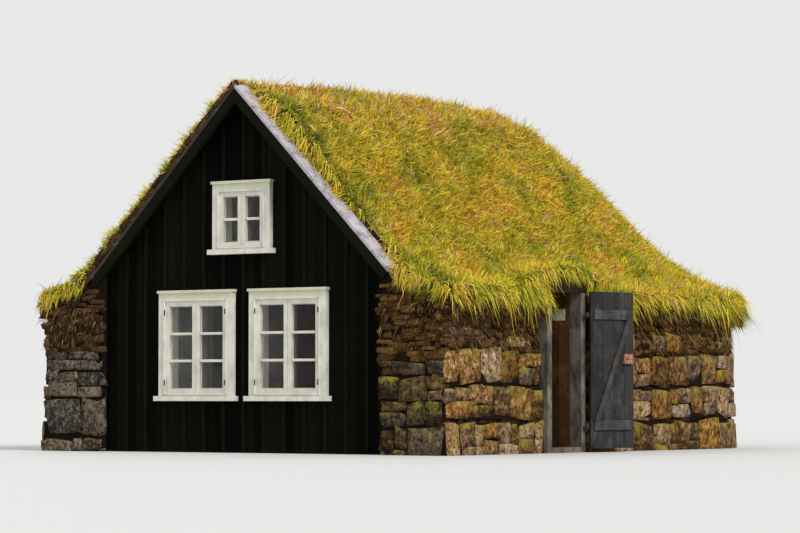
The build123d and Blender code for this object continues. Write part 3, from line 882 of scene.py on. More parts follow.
@dataclass(frozen=True)
class WallLine:
    """The foot of a wall seen from above, with the way that it faces and how far it leans in."""

    points: np.ndarray
    normals: np.ndarray
    lean: float

    @property
    def along(self) -> np.ndarray:
        """Returns the distance of each point along the line."""
        steps = np.linalg.norm(np.diff(self.points, axis=0), axis=1)
        return np.concatenate([[0.0], np.cumsum(steps)])

    def place(self, distance: np.ndarray, height: np.ndarray) -> tuple:
        """Gives the places on the wall's face and the outward directions.

        Args:
            distance: Distances along the line.
            height: Heights above the ground.

        Returns:
            Places and directions, each (n, 3).
        """
        spots = np.stack([np.interp(distance, self.along, self.points[:, k]) for k in (0, 1)], -1)
        facing = unit(np.stack([np.interp(distance, self.along, self.normals[:, k]) for k in (0, 1)], -1))
        flat = spots - facing * (self.lean * height)[:, None]
        level = np.zeros((len(height), 1))
        return np.concatenate([flat, height[:, None]], 1), np.concatenate([facing, level], 1)


@dataclass(frozen=True)
class BlockKind:
    """A kind of block: how far its front stands off the wall, its roundness and its mesh steps.

    A roundness of 0 gives a brick and 1 a ball; the steps are the squares along each edge.
    """

    finish: Finish
    proud: tuple
    roundness: float
    steps: int


STONE_PROUD = (0.006, 0.036)
TURF_PROUD = (-0.012, 0.022)
JOINT_PROUD = (-0.03, -0.012)
SIDE_STONES = BlockKind(STONE_BROWN, STONE_PROUD, 0.2, 3)
JOINT_LUMPS = BlockKind(JOINT_TURF, JOINT_PROUD, 0.5, 2)
BAND_LUMPS = BlockKind(TURF_STRIP, TURF_PROUD, 0.55, 2)
EDGE_LUMPS = BlockKind(TURF_STRIP, JOINT_PROUD, 0.5, 2)
VERGE_LUMPS = BlockKind(SHADED_TURF, TURF_PROUD, 0.5, 2)


@dataclass(frozen=True)
class WallEnd:
    """The end of a side wall beside the gable: where its courses start and end, and its blocks."""

    name: str
    side: float
    stones: BlockKind
    lumps: BlockKind
    levels: tuple
    lengths: tuple


RIGHT_END = WallEnd(
    "right_front_end", 1.0,
    stones=BlockKind(STONE_SHADE, STONE_PROUD, 0.16, 3), lumps=BlockKind(TURF_STRIP, TURF_PROUD, 0.4, 3),
    levels=(-0.12, 0.3, 0.58, 0.84, 1.0), lengths=(0.24, 0.42),
)
LEFT_END = WallEnd(
    "left_front_end", -1.0,
    stones=BlockKind(STONE_GREY, STONE_PROUD, 0.16, 3), lumps=BlockKind(SHADED_TURF, TURF_PROUD, 0.4, 3),
    levels=(-0.12, 0.17, 0.6, 0.91, 1.13), lengths=(0.4, 0.62),
)


@dataclass
class WallFacing:
    """The stones and lumps of turf that face the walls, in the courses of the walls themselves."""

    sweep: DoorSweep
    corner_radius: float = 1.5
    lean: float = 0.0488
    course_count: int = 4
    joint: float = 0.045
    stone_length: tuple = (0.26, 0.5)
    high_stone_length: tuple = (0.22, 0.4)
    high_stone_share: float = 0.55
    stacked_share: float = 0.45
    split_length: float = 0.34
    shortest: float = 0.04
    lump_pitch: tuple = (0.12, 0.05)
    lump_half_length: tuple = (0.05, 0.12)
    lump_half_height: tuple = (0.018, 0.038)
    corner_shift: tuple = (0.27, 0.14, 0.24)
    corner_reach: float = 0.16
    swell: float = 0.15
    sway: float = 0.032
    tilt: float = 0.045
    deepest: float = 0.07
    sunk: float = 0.12
    band_reach: tuple = (-0.02, 0.01, 0.03)
    edge_reach: tuple = (-0.02, 0.01, 0.17, 0.2)
    turf_lap: float = 0.06
    end_joint: float = 0.02
    end_top: tuple = (1.6, 1.62, 1.84)
    end_rise: float = 0.32
    fibres_per_metre: int = 620
    fibre_length: tuple = (0.03, 0.1)
    fibre_width: tuple = (0.004, 0.01)
    seed: int = 11

    def wall_line(self) -> WallLine:
        """Works out the foot of the walls, from the right front corner round to the left one.

        The line is straight along each side, with quarter circles at the two back corners.

        Returns:
            The line, facing outwards.
        """
        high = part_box("back_wall")[1]
        half, back, radius = high.x, high.y, self.corner_radius
        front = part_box("left_wall")[0].y
        turn = np.linspace(0, np.pi / 2, 24)
        way = np.stack([np.cos(turn), np.sin(turn)], -1)
        mirror = np.array([-1.0, 1.0])
        right = np.array([half - radius, back - radius]) + radius * way
        points = np.concatenate([[[half, front]], right, right[::-1] * mirror, [[-half, front]]])
        normals = np.concatenate([[[1.0, 0.0]], way, way[::-1] * mirror, [[-1.0, 0.0]]])
        return WallLine(points, normals, self.lean)

    def course(
        self, start: float, end: float, bottom: float, top: float, lengths: tuple, rng: Random
    ) -> list:
        """Lays one course: single stones, and stacks of two or three smaller ones.

        Args:
            start: First distance along the line.
            end: Last distance along the line.
            bottom: Lowest height.
            top: Highest height.
            lengths: Shortest and longest stone.
            rng: The random source.

        Returns:
            Rows of distance, height, half length and half height.
        """
        rows = []
        here = start
        while here < end - self.shortest:
            size = rng.uniform(*lengths)
            if end - here - size < lengths[0] * 0.6:
                size = end - here
            lower = (top - bottom) * (rng.uniform(0.4, 0.62) if rng.random() < self.stacked_share else 1.0)
            upper = top - bottom - lower
            rows.append((here + size / 2, bottom + lower / 2, size / 2, lower / 2))
            if upper > 0:
                cut = rng.uniform(0.4, 0.6) if size > self.split_length else 1.0
                rows.append((here + size * cut / 2, top - upper / 2, size * cut / 2, upper / 2))
                if cut < 1.0:
                    rest = size * (1 - cut)
                    rows.append((here + size - rest / 2, top - upper / 2, rest / 2, upper / 2))
            here += size
        return rows

    def lumps(self, start: float, end: float, bottom: float, top: float, rng: Random) -> np.ndarray:
        """Strews lumps of turf over a band, in jittered rows.

        Args:
            start: First distance along the line.
            end: Last distance along the line.
            bottom: Lowest height.
            top: Highest height.
            rng: The random source.

        Returns:
            Rows of distance, height, half length and half height.
        """
        count_x = max(1, round((end - start) / self.lump_pitch[0]))
        count_z = max(1, round((top - bottom) / self.lump_pitch[1]))
        x, z = np.meshgrid(np.arange(count_x) + 0.5, np.arange(count_z) + 0.5, indexing="ij")
        x = start + (x + rng.uniform(-0.45, 0.45, x.shape)) * (end - start) / count_x
        z = bottom + (z + rng.uniform(-0.4, 0.4, z.shape)) * (top - bottom) / count_z
        half = [rng.uniform(*self.lump_half_length, x.size), rng.uniform(*self.lump_half_height, x.size)]
        return np.stack([x.ravel(), z.ravel(), *half], -1)

    def blocks(
        self, rows: np.ndarray, centres: np.ndarray, outward: np.ndarray, kind: BlockKind, rng: Random,
        slant: float = 0.0,
    ) -> tuple:
        """Shapes one uneven block for each row.

        A block is a cube's skin drawn towards a ball and scaled to its size. Each of its eight
        corners is moved by an amount of its own and the skin follows in between, then waves
        swell and dent it, and it is set on the wall's tangent, normal and upright directions.

        Args:
            rows: Distance, height, half length and half height of each block.
            centres: Places (n, 3) on the wall's face.
            outward: Outward unit directions (n, 3).
            kind: The kind of block.
            rng: The random source.
            slant: Turn about the outward direction that all blocks share.

        Returns:
            Points, quads and one tone per vertex.
        """
        shell, quads = cube_shell(kind.steps)
        form = shell * (1 - kind.roundness) + unit(shell) * kind.roundness * 1.22
        count = len(rows)
        depth = np.minimum(self.deepest, rows[:, 3] * 0.8)
        signs = np.array([(x, y, z) for x in (-1, 1) for y in (-1, 1) for z in (-1, 1)])
        share = ((1 + shell[:, None] * signs[None]) / 2).prod(-1)
        corner = rng.uniform(-1, 1, (count, 8, 3)) * np.array(self.corner_shift)
        corner[..., 0] *= np.minimum(1, self.corner_reach / rows[:, 2])[:, None]
        local = form[None] + np.einsum("vc,ncd->nvd", share, corner)
        ways = rng.normal(size=(count, 9, 3)) * 1.9
        phase = rng.uniform(0, 2 * np.pi, (count, 1, 9))
        wave = np.sin(np.einsum("vk,nwk->nvw", form, ways) + phase).mean(-1)
        local *= 1 + self.swell * wave[..., None]
        local *= np.stack([rows[:, 2] * 0.98, depth, rows[:, 3] * 0.99], -1)[:, None]
        turn = slant + rng.normal(0, self.tilt, (count, 1))
        local[..., 0], local[..., 2] = (
            local[..., 0] * np.cos(turn) - local[..., 2] * np.sin(turn),
            local[..., 0] * np.sin(turn) + local[..., 2] * np.cos(turn),
        )
        base = centres + outward * (rng.uniform(*kind.proud, count) - depth)[:, None]
        axes = np.stack([np.cross(UP, outward), outward, np.broadcast_to(UP, outward.shape)], 1)
        world = base[:, None] + np.einsum("nvk,nkd->nvd", local, axes)
        front = ((world - centres[:, None]) * outward[:, None]).sum(-1)
        world -= outward[:, None] * np.maximum(front - kind.proud[1], 0)[..., None] * 0.9
        points = world.reshape(-1, 3)
        points[:, 2] = np.maximum(points[:, 2], 0.0)
        tone = np.repeat(rng.uniform(0, 1, count), len(shell))
        return points, repeat_faces(quads, len(shell), count), tone

    def lay(self, name: str, rows: list | np.ndarray, line: WallLine, kind: BlockKind, rng: Random) -> None:
        """Places rows on a wall line, lets the courses rise and fall a little, and makes one piece.

        Args:
            name: The piece's name.
            rows: Distance, height, half length and half height of each block.
            line: The wall's foot.
            kind: The kind of block.
            rng: The random source.
        """
        rows = np.array(rows)
        centres, outward = line.place(rows[:, 0], rows[:, 1])
        wave = ripple(centres, 1.3, np.random.default_rng(self.seed + 1))
        centres[:, 2] += self.sway * wave * np.clip(rows[:, 1] / 0.35, 0, 1)
        points, faces, tone = self.blocks(rows, centres, outward, kind, rng)
        new_piece(name, points, faces, kind.finish, {"tone": tone}, smooth=True)

    def build(self) -> None:
        """Faces the two side walls, the back and the two front ends."""
        WALL_CORE.dress("left_wall", "right_wall_front", "right_wall_back", "back_wall", "passage_floor")
        rng = np.random.default_rng(self.seed)
        line = self.wall_line()
        end, front = line.along[-1], line.points[0, 1]
        near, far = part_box("door_post_front")[0].y - front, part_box("door_post_back")[1].y - front
        turn = (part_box("back_wall")[1].y - self.corner_radius) - front
        self.face_span("right_front", 0.0, near, line, rng)
        self.face_span("right_back", far, turn, line, rng)
        self.face_span("round_back", turn, end - turn, line, rng)
        self.face_span("left_side", end - turn, end, line, rng)
        self.face_end(RIGHT_END, rng)
        self.face_end(LEFT_END, rng)

    def face_span(self, name: str, first: float, last: float, line: WallLine, rng: Random) -> None:
        """Faces a stretch of wall: courses of stones and turf joints, then a band and an edge of turf.

        Args:
            name: What the pieces are called.
            first: First distance along the line.
            last: Last distance along the line.
            line: The foot of the walls.
            rng: The random source.
        """
        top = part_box("turf_right")[0].z
        pitch = top / self.course_count
        stones, joints = [], []
        for course in range(self.course_count - 1):
            joint_top = (course + 1) * pitch
            foot = course * pitch if course else -self.sunk
            stones += self.course(first, last, foot, joint_top - self.joint, self.stone_length, rng)
            joints.append(self.lumps(first, last, joint_top - self.joint, joint_top, rng))
        upper = (self.course_count - 1) * pitch
        high = self.course(first, last, upper, upper + pitch * 0.5, self.high_stone_length, rng)
        stones += [row for row in high if rng.random() < self.high_stone_share]
        self.lay(f"{name}_stones", stones, line, SIDE_STONES, rng)
        self.lay(f"{name}_joint_turf", np.concatenate(joints), line, JOINT_LUMPS, rng)
        below, above, fibre_top = self.band_reach
        band = self.lumps(first, last, upper + below, top + above, rng)
        self.lay(f"{name}_turf_band", band, line, BAND_LUMPS, rng)
        self.hang_fibres(name, line, first, last, (upper, top + fibre_top), rng)
        rim = WallLine(line.points + line.normals * self.turf_lap, line.normals, 0.0)
        scale = rim.along[-1] / line.along[-1]
        first, last = first * scale, last * scale
        fibre_low, low, high, fibre_top = (top + level for level in self.edge_reach)
        edge = self.lumps(first, last, low, high, rng)
        places = rim.place(edge[:, 0], edge[:, 1])[0]
        corner = np.array([1.0, 0.0, -1.0]) * self.lump_pitch[1]
        edge = edge[self.sweep.clear(places[:, None] + corner)]
        self.lay(f"{name}_turf_edge", edge, rim, EDGE_LUMPS, rng)
        self.hang_fibres(f"{name}_edge", rim, first, last, (fibre_low, fibre_top), rng)

    def face_end(self, end: WallEnd, rng: Random) -> None:
        """Faces the end of a side wall beside the gable: stones below, lumps of turf up to the roof.

        Args:
            end: The end's courses and blocks.
            rng: The random source.
        """
        low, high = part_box("left_wall")
        inner, outer = abs(high.x), abs(low.x)
        first, last = sorted((end.side * (inner - self.end_joint), end.side * (outer - self.lean)))
        foot = np.array([[first, low.y], [last, low.y]])
        line = WallLine(foot, np.array([[0.0, -1.0], [0.0, -1.0]]), 0.0)
        length = last - first
        stones = []
        for bottom, top in zip(end.levels, end.levels[1:]):
            stones += self.course(0.0, length, bottom, top - self.end_joint, end.lengths, rng)
        self.lay(f"{end.name}_stones", stones, line, end.stones, rng)
        lowest, fibre_top, highest = self.end_top
        band = self.lumps(0.0, length, end.levels[-1] - self.end_joint, highest, rng)
        rise = (outer - np.abs(first + band[:, 0])) * self.end_rise
        band = band[band[:, 1] < lowest + np.clip(rise, 0, highest - lowest)]
        self.lay(f"{end.name}_turf_band", band, line, end.lumps, rng)
        self.hang_fibres(end.name, line, 0.0, length, (end.levels[-1] + self.fibre_length[1], fibre_top), rng)

    def hang_fibres(
        self, name: str, line: WallLine, start: float, end: float, heights: tuple, rng: Random
    ) -> None:
        """Hangs dead grass and roots over the turf at the top of a wall, as drooping strips.

        Args:
            name: What the piece is called, before "_fibres".
            line: The wall's foot.
            start: First distance along the line.
            end: Last distance along the line.
            heights: Lowest and highest root; most roots lie high.
            rng: The random source.
        """
        count = int((end - start) * self.fibres_per_metre)
        drop = rng.random(count) ** 1.7
        height = heights[1] - drop * (heights[1] - heights[0])
        places, outward = line.place(rng.uniform(start, end, count), height)
        places += outward * rng.uniform(0.0, 0.02, count)[:, None]
        way = unit(outward * 0.55 - UP * 0.5 + rng.normal(0, 0.4, (count, 3)))
        bend = -UP * rng.uniform(0.3, 0.8, count)[:, None]
        length = rng.uniform(*self.fibre_length, count)
        strips = blade_strips(places, way, bend, length, rng.uniform(*self.fibre_width, count), rng)
        strips = self.sweep.press(strips)
        strips = strips[self.sweep.clear(strips)]
        strip_piece(f"{name}_fibres", strips, rng.uniform(0, 1, len(strips)), FIBRES)


@dataclass
class GrassCoat:
    """Grass on the roof turf: tufts of bent, tapering blades that grow from the turf's face."""

    sweep: DoorSweep
    blade_length: float = 0.088
    blade_width: float = 0.0115
    per_piece: int = 48000
    tuft: float = 0.1
    clump: float = 0.32
    upright_limit: float = 0.12
    bare_edge: float = 0.13
    edge_lift: float = 0.045
    over_cap: float = 0.006
    behind_cap: float = 0.05
    beyond: tuple = (0.08, 0.08, 0.1)
    verge_reach: tuple = (0.26, 0.42)
    ridge_level: float = 3.45
    seed_head_share: float = 0.035
    seed: int = 5

    @staticmethod
    def triangles(node: str) -> tuple:
        """Reads a CAD node's triangles.

        Args:
            node: The CAD node.

        Returns:
            Corner places (m, 3, 3), unit normals and areas.
        """
        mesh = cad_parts[node].data
        mesh.calc_loop_triangles()
        places = np.empty(len(mesh.vertices) * 3)
        mesh.vertices.foreach_get("co", places)
        index = np.empty(len(mesh.loop_triangles) * 3, dtype=np.int32)
        mesh.loop_triangles.foreach_get("vertices", index)
        corners = places.reshape(-1, 3)[index.reshape(-1, 3)]
        cross = np.cross(corners[:, 1] - corners[:, 0], corners[:, 2] - corners[:, 0])
        return corners, unit(cross), np.linalg.norm(cross, axis=1) / 2

    def roots(self, node: str, count: int, rng: Random) -> tuple:
        """Scatters blade roots over a turf half.

        Triangles are chosen by their area and by how far they look up; inner faces get none.

        Args:
            node: The CAD node.
            count: How many roots.
            rng: The random source.

        Returns:
            Places and normals, each (count, 3).
        """
        corners, normals, areas = self.triangles(node)
        upright = self.on_rim(corners.mean(1), normals)
        weight = areas * ((normals[:, 2] > self.upright_limit) + 1.5 * upright)
        picked = rng.choice(len(areas), count, p=weight / weight.sum())
        a, b = rng.random(count), rng.random(count)
        fold = a + b > 1
        a[fold], b[fold] = 1 - a[fold], 1 - b[fold]
        tri = corners[picked]
        places = tri[:, 0] + a[:, None] * (tri[:, 1] - tri[:, 0]) + b[:, None] * (tri[:, 2] - tri[:, 0])
        ragged = self.bare_edge + 0.05 * ripple(places, 0.5, np.random.default_rng(self.seed + 4))
        grown = ~upright[picked] | (places[:, 2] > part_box("turf_right")[0].z + ragged)
        places[upright[picked], 2] += rng.uniform(0, self.edge_lift, upright[picked].sum())
        return places[grown], normals[picked][grown]

    def on_rim(self, centre: np.ndarray, normals: np.ndarray) -> np.ndarray:
        """Tells which faces are upright and lie on the outside of the mound.

        They look away from its middle at the sides and the back, or lie at the front over the
        verge caps or beyond their lower ends.

        Args:
            centre: Middles of the faces (n, 3).
            normals: Their unit normals (n, 3).

        Returns:
            One truth value for each face.
        """
        high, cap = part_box("turf_right")[1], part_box("verge_cap_right")[1]
        upright = np.abs(normals[:, 2]) < self.upright_limit
        out = np.abs(centre[:, 0])
        side = (out > high.x - 0.01) | (centre[:, 1] > high.y - 1.7)
        away = (normals[:, :2] * centre[:, :2]).sum(1) > 0
        front = (normals[:, 1] < -0.7) & ((centre[:, 2] + out > cap.z) | (out > KNEE))
        front &= centre[:, 1] < cap.y + self.behind_cap
        return upright & ((side & away) | front)

    @staticmethod
    def tufts(places: np.ndarray, size: float, seed: int) -> tuple:
        """Groups roots into tufts.

        Places are moved by slow waves and cut into cells of the given size; a number made of the
        cell's three indices picks the tuft's random values from a table.

        Args:
            places: Roots (n, 3).
            size: Width of a tuft.
            seed: Chooses the table.

        Returns:
            Five random values per root, and its way from the tuft's middle, from -0.5 to 0.5.
        """
        rng = np.random.default_rng(seed)
        moved = places + size * 0.4 * np.stack([ripple(places, size * 2.5, rng) for _ in range(3)], -1)
        cell = np.floor(moved / size)
        key = (cell.astype(np.int64) @ np.array([73856093, 19349663, 83492791])) % 65521
        return rng.random((65521, 5))[key], moved / size - cell - 0.5

    def blades(self, places: np.ndarray, normals: np.ndarray, rng: Random) -> tuple:
        """Grows one blade from each root.

        A blade's way is the turf's normal mixed with the upright, the lean of its tuft, the way
        out from the tuft's middle and chance; its length and tone vary by tuft and by patch.

        Args:
            places: Roots (n, 3).
            normals: Turf normals (n, 3).
            rng: The random source.

        Returns:
            Strips (n, 5, 3) and the tone of each blade (n,).
        """
        count = len(places)
        tuft, out = self.tufts(places, self.tuft, self.seed + 1)
        clump, _ = self.tufts(places, self.clump, self.seed + 2)
        patch = ripple(places, 1.1, np.random.default_rng(self.seed + 3))
        up = np.clip(normals[:, 2], 0, 1)
        rim = up < 0.15
        near, far = self.verge_reach
        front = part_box("turf_left")[0].y
        ridge = np.clip((places[:, 2] - self.ridge_level) / 0.5, 0, 1)
        verge = np.clip((front + far - places[:, 1]) / (far - near), 0, 1) * ~rim
        length = self.blade_length * rng.lognormal(0.0, 0.28, count) * (0.65 + 0.7 * tuft[:, 0])
        length *= (0.85 + 0.3 * clump[:, 0]) * np.where(rim, 1.3, 1.0)
        lean = (tuft[:, 1:4] - 0.5) * 0.95 + (clump[:, 1:4] - 0.5) * 0.4
        rise = np.where(rim, 0.5, 0.1 + 0.5 * up)
        way = unit(normals * 0.6 + UP * rise[:, None] + lean + out * 0.7 + rng.normal(0, 0.3, (count, 3)))
        fall = np.where(rim, rng.uniform(0.9, 1.7, count), rng.uniform(0.15, 0.7, count))
        bend = normals * 0.12 - UP * fall[:, None] + rng.normal(0, 0.15, (count, 3))
        tone = 0.45 + 0.15 * patch + 0.36 * (tuft[:, 4] - 0.5) + 0.2 * (clump[:, 4] - 0.5)
        tone += rng.normal(0, 0.085, count) * np.where(rim, 2.4, 1.0) - 0.3 * verge + 0.08 * ridge
        seed_head = rng.random(count) < self.seed_head_share + 0.12 * ridge
        tone = np.where(seed_head, rng.uniform(0.88, 1.0, count), tone)
        length *= np.where(seed_head & ~rim, 1.35, 1.0)
        width = self.blade_width * rng.uniform(0.6, 1.3, count)
        strips = blade_strips(places - normals * 0.01, way, bend, length, width, rng)
        return self.laid_on_caps(self.kept_in(strips, places)), np.clip(tone, 0.02, 1.0)

    def laid_on_caps(self, strips: np.ndarray) -> np.ndarray:
        """Lifts what hangs over the verge caps on to them: their top falls by one for each one across.

        Args:
            strips: Corners (n, 5, 3).

        Returns:
            The strips, lifted.
        """
        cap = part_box("verge_cap_right")[1]
        top = cap.z + self.over_cap - np.abs(strips[..., 0])
        over = (strips[..., 1] < cap.y) & (np.abs(strips[..., 0]) < KNEE)
        strips[..., 2] = np.where(over, np.maximum(strips[..., 2], top), strips[..., 2])
        return strips

    def kept_in(self, strips: np.ndarray, places: np.ndarray) -> np.ndarray:
        """Shortens blades that would reach too far beyond the house: each shrinks towards its root.

        Args:
            strips: Corners (n, 5, 3).
            places: Roots (n, 3).

        Returns:
            The strips, shortened.
        """
        low, high = (np.array(corner) for corner in CAD_BOX)
        reach = strips - places[:, None]
        room_up = (high + self.beyond - places)[:, None]
        room_down = (places - low + self.beyond)[:, None]
        share = np.minimum(room_up / np.maximum(reach, 1e-6), room_down / np.maximum(-reach, 1e-6))
        return places[:, None] + reach * np.clip(share.min((1, 2)), 0.1, 1.0)[:, None, None]

    def grow(self, node: str, pieces: int) -> None:
        """Covers one turf half with grass, in several pieces.

        Args:
            node: The CAD node.
            pieces: How many pieces.
        """
        rng = np.random.default_rng(self.seed + len(node))
        for index in range(pieces):
            strips, tone = self.blades(*self.roots(node, self.per_piece, rng), rng)
            strips = self.sweep.press(strips)
            keep = self.sweep.clear(strips)
            strip_piece(f"grass_{node.split('_')[1]}_{index + 1}", strips[keep], tone[keep], BLADES)

    def build(self) -> None:
        """Dresses the turf and grows the grass on both halves."""
        ROOF_MAT.dress("turf_left", "turf_right")
        self.grow("turf_right", 3)
        self.grow("turf_left", 2)


@dataclass
class VergeTurf:
    """The turf of the left slope where it has crept over the verge cap: lumps with grass on top."""

    facing: WallFacing
    coat: GrassCoat
    reach: tuple = (0.02, 2.34)
    beyond_knee: float = 0.5
    thickness: tuple = (0.045, 0.12)
    lump_count: int = 230
    lump_share: tuple = (0.08, 0.85)
    lump_half_length: tuple = (0.05, 0.11)
    lump_half_height: tuple = (0.018, 0.032)
    blade_count: int = 10000
    root_share: tuple = (0.75, 1.15)
    slope: float = math.radians(45)
    front_gap: float = 0.03
    sunlit: float = 0.24
    seed: int = 23

    def spots(self, share: np.ndarray, rng: Random) -> np.ndarray:
        """Gives places over the cap's top, at a share of the strip's height.

        The strip's height grows evenly from the ridge to its lower end, and beyond the knee the
        strip falls less steeply, with the turf of the wall.

        Args:
            share: Share of the height at each place (n,).
            rng: The random source.

        Returns:
            Places (n, 3), on the cap's front edge.
        """
        low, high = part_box("verge_cap_left")
        across = rng.uniform(*self.reach, len(share))
        level = high.z - np.minimum(across, KNEE) - self.beyond_knee * np.maximum(across - KNEE, 0)
        thin, thick = self.thickness
        height = thin + (thick - thin) * across / self.reach[1]
        front = np.full(len(share), low.y)
        return np.stack([-across, front, level + share * height / math.cos(self.slope)], -1)

    def build(self) -> None:
        """Lays the lumps on the cap and grows the grass over them."""
        rng = np.random.default_rng(self.seed)
        share = rng.uniform(*self.lump_share, self.lump_count)
        centres = self.spots(share, rng) + np.array([0.0, self.front_gap, 0.0])
        half_length = rng.uniform(*self.lump_half_length, self.lump_count)
        half_height = rng.uniform(*self.lump_half_height, self.lump_count)
        rows = np.stack([share, share, half_length, half_height], -1)
        front = np.tile([0.0, -1.0, 0.0], (self.lump_count, 1))
        points, faces, tone = self.facing.blocks(rows, centres, front, VERGE_LUMPS, rng, self.slope)
        new_piece("left_verge_turf", points, faces, SHADED_TURF, {"tone": tone}, smooth=True)
        roots = self.spots(rng.uniform(*self.root_share, self.blade_count), rng)
        cap_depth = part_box("verge_cap_left")[1].y - roots[0, 1]
        roots[:, 1] += rng.uniform(self.front_gap, cap_depth, self.blade_count)
        normals = np.tile([-math.sin(self.slope), 0.0, math.cos(self.slope)], (self.blade_count, 1))
        strips, tone = self.coat.blades(roots, normals, rng)
        strip_piece("left_verge_grass", strips, np.clip(tone + self.sunlit, 0.02, 1.0), BLADES)


@dataclass
class Window:
    """One window of the gable: glazing bars, beads, linings and hinges on the CAD frame and sashes."""

    label: str
    rows: int
    hinges: bool = True
    bar_size: tuple = (0.03, 0.026, 0.006)
    bar_back: float = 0.002
    stile: float = 0.058
    bead_size: tuple = (0.02, 0.01, 0.003)
    bead_gap: float = 0.004
    casing_back: float = 0.045
    lining_size: tuple = (0.022, 0.06, 0.002)
    knuckle_size: tuple = (0.013, 0.013, 0.003)
    knuckle_half: float = 0.03
    knuckle_inset: float = 0.12

    def build(self) -> None:
        """Dresses the CAD pieces and adds the bars, beads, linings and hinges."""
        low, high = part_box(f"{self.label}_sashes")
        WHITE_PAINT.dress(f"{self.label}_sashes")
        head = OilPaint(f"pine_white_paint_{self.label}", "white_paint", head_level=high.z + 0.01)
        head.dress(f"{self.label}_frame")
        GLASS.dress(f"{self.label}_glass")
        self.add_glazing_bars(low, high)
        frame_low, frame_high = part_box(f"{self.label}_frame")
        width, proud, _ = self.bead_size
        casing = frame_low.y + self.casing_back - proud
        off = width / 2 + self.bead_gap
        self.add_ring("bead", low, high, casing + proud / 2, off, self.bead_size, width / 2)
        thick, deep, _ = self.lining_size
        self.add_ring("lining", low, high, frame_high.y + deep / 2, thick / 2, self.lining_size, -thick / 2)
        if self.hinges:
            self.add_hinges(low, high, casing - self.bead_gap)

    def add_part(self, part: str, bars: list, finish: Finish = WHITE_PAINT) -> None:
        """Joins bars into one piece of the window."""
        new_piece(f"{self.label}_{part}", *join_parts(bars), finish)

    def add_glazing_bars(self, low: Vector, high: Vector) -> None:
        """Divides both sashes into equal panes with level bars.

        Args:
            low: Lowest corner of the sashes.
            high: Highest corner of the sashes.
        """
        middle = (low.x + high.x) / 2
        meeting = self.stile + self.bar_back
        front = low.y + self.bar_size[1] / 2 + self.bar_back
        lights = ((low.x + self.stile, middle - meeting), (middle + meeting, high.x - self.stile))
        bottom, top = low.z + self.stile, high.z - self.stile
        levels = [bottom + (top - bottom) * index / self.rows for index in range(1, self.rows)]
        self.add_part("glazing_bars", [
            bar((x0, front, z), (x1, front, z), (0, 0, 1), *self.bar_size)
            for z in levels for x0, x1 in lights
        ])

    def add_ring(
        self, part: str, low: Vector, high: Vector, y: float, off: float, size: tuple, longer: float
    ) -> None:
        """Frames the sashes with two upright and two level bars.

        Args:
            part: The part's name.
            low: Lowest corner of the sashes.
            high: Highest corner of the sashes.
            y: Depth of the bars' middle lines.
            off: Their distance from the sashes' edge.
            size: Width, depth and chamfer of a bar.
            longer: How far the upright bars pass the level ones' middle lines; the level ones
                pass the upright ones' where this is below zero.
        """
        x0, x1, z0, z1 = low.x - off, high.x + off, low.z - off, high.z + off
        more = max(0.0, -longer)
        bars = [bar((x, y, z0 - longer), (x, y, z1 + longer), (1, 0, 0), *size) for x in (x0, x1)]
        bars += [bar((x0 - more, y, z), (x1 + more, y, z), (0, 0, 1), *size) for z in (z0, z1)]
        self.add_part(part, bars)

    def add_hinges(self, low: Vector, high: Vector, face: float) -> None:
        """Sets two iron hinge knuckles on the left and right edges of the sashes.

        Args:
            low: Lowest corner of the sashes.
            high: Highest corner of the sashes.
            face: Depth of the knuckles' middle lines.
        """
        levels = (low.z + self.knuckle_inset, high.z - self.knuckle_inset)
        half = self.knuckle_half
        self.add_part("hinges", [
            bar((x, face, z - half), (x, face, z + half), (1, 0, 0), *self.knuckle_size)
            for x in (low.x, high.x) for z in levels
        ], PINTLE_IRON)


@dataclass
class Gable:
    """The tarred gable with its verge boards, timber frame and three windows."""

    windows: list = field(
        default_factory=lambda: [
            Window("lower_left_window", 3), Window("lower_right_window", 3), Window("upper_window", 2, False),
        ]
    )

    def build(self) -> None:
        """Dresses the boards and builds each window."""
        TARRED.dress("gable_boarding")
        TARRED_STRIP.dress("gable_cover_strips")
        TARRED_BARGE.dress("bargeboard_left", "bargeboard_right")
        WEATHERED_CAP.dress("verge_cap_right")
        PAINTED_SHADE_CAP.dress("verge_cap_left")
        ROOM_TIMBER.dress("gable_frame")
        for window in self.windows:
            window.build()


@dataclass
class Inside:
    """Floors, posts, plates, rafters and roof boards of the room and the loft."""

    def build(self) -> None:
        """Dresses the timber inside, in finishes darkened with painted shade of the dim room."""
        ROOF_BOARDS.dress("roof_deck_left", "roof_deck_right")
        ROOM_TIMBER.dress(
            "rafters", "ridge_beam", "wall_plates", "wall_posts", "floor_sleepers", "loft_joists",
        )
        FLOOR_BOARDS.dress("ground_floor", "loft_floor")


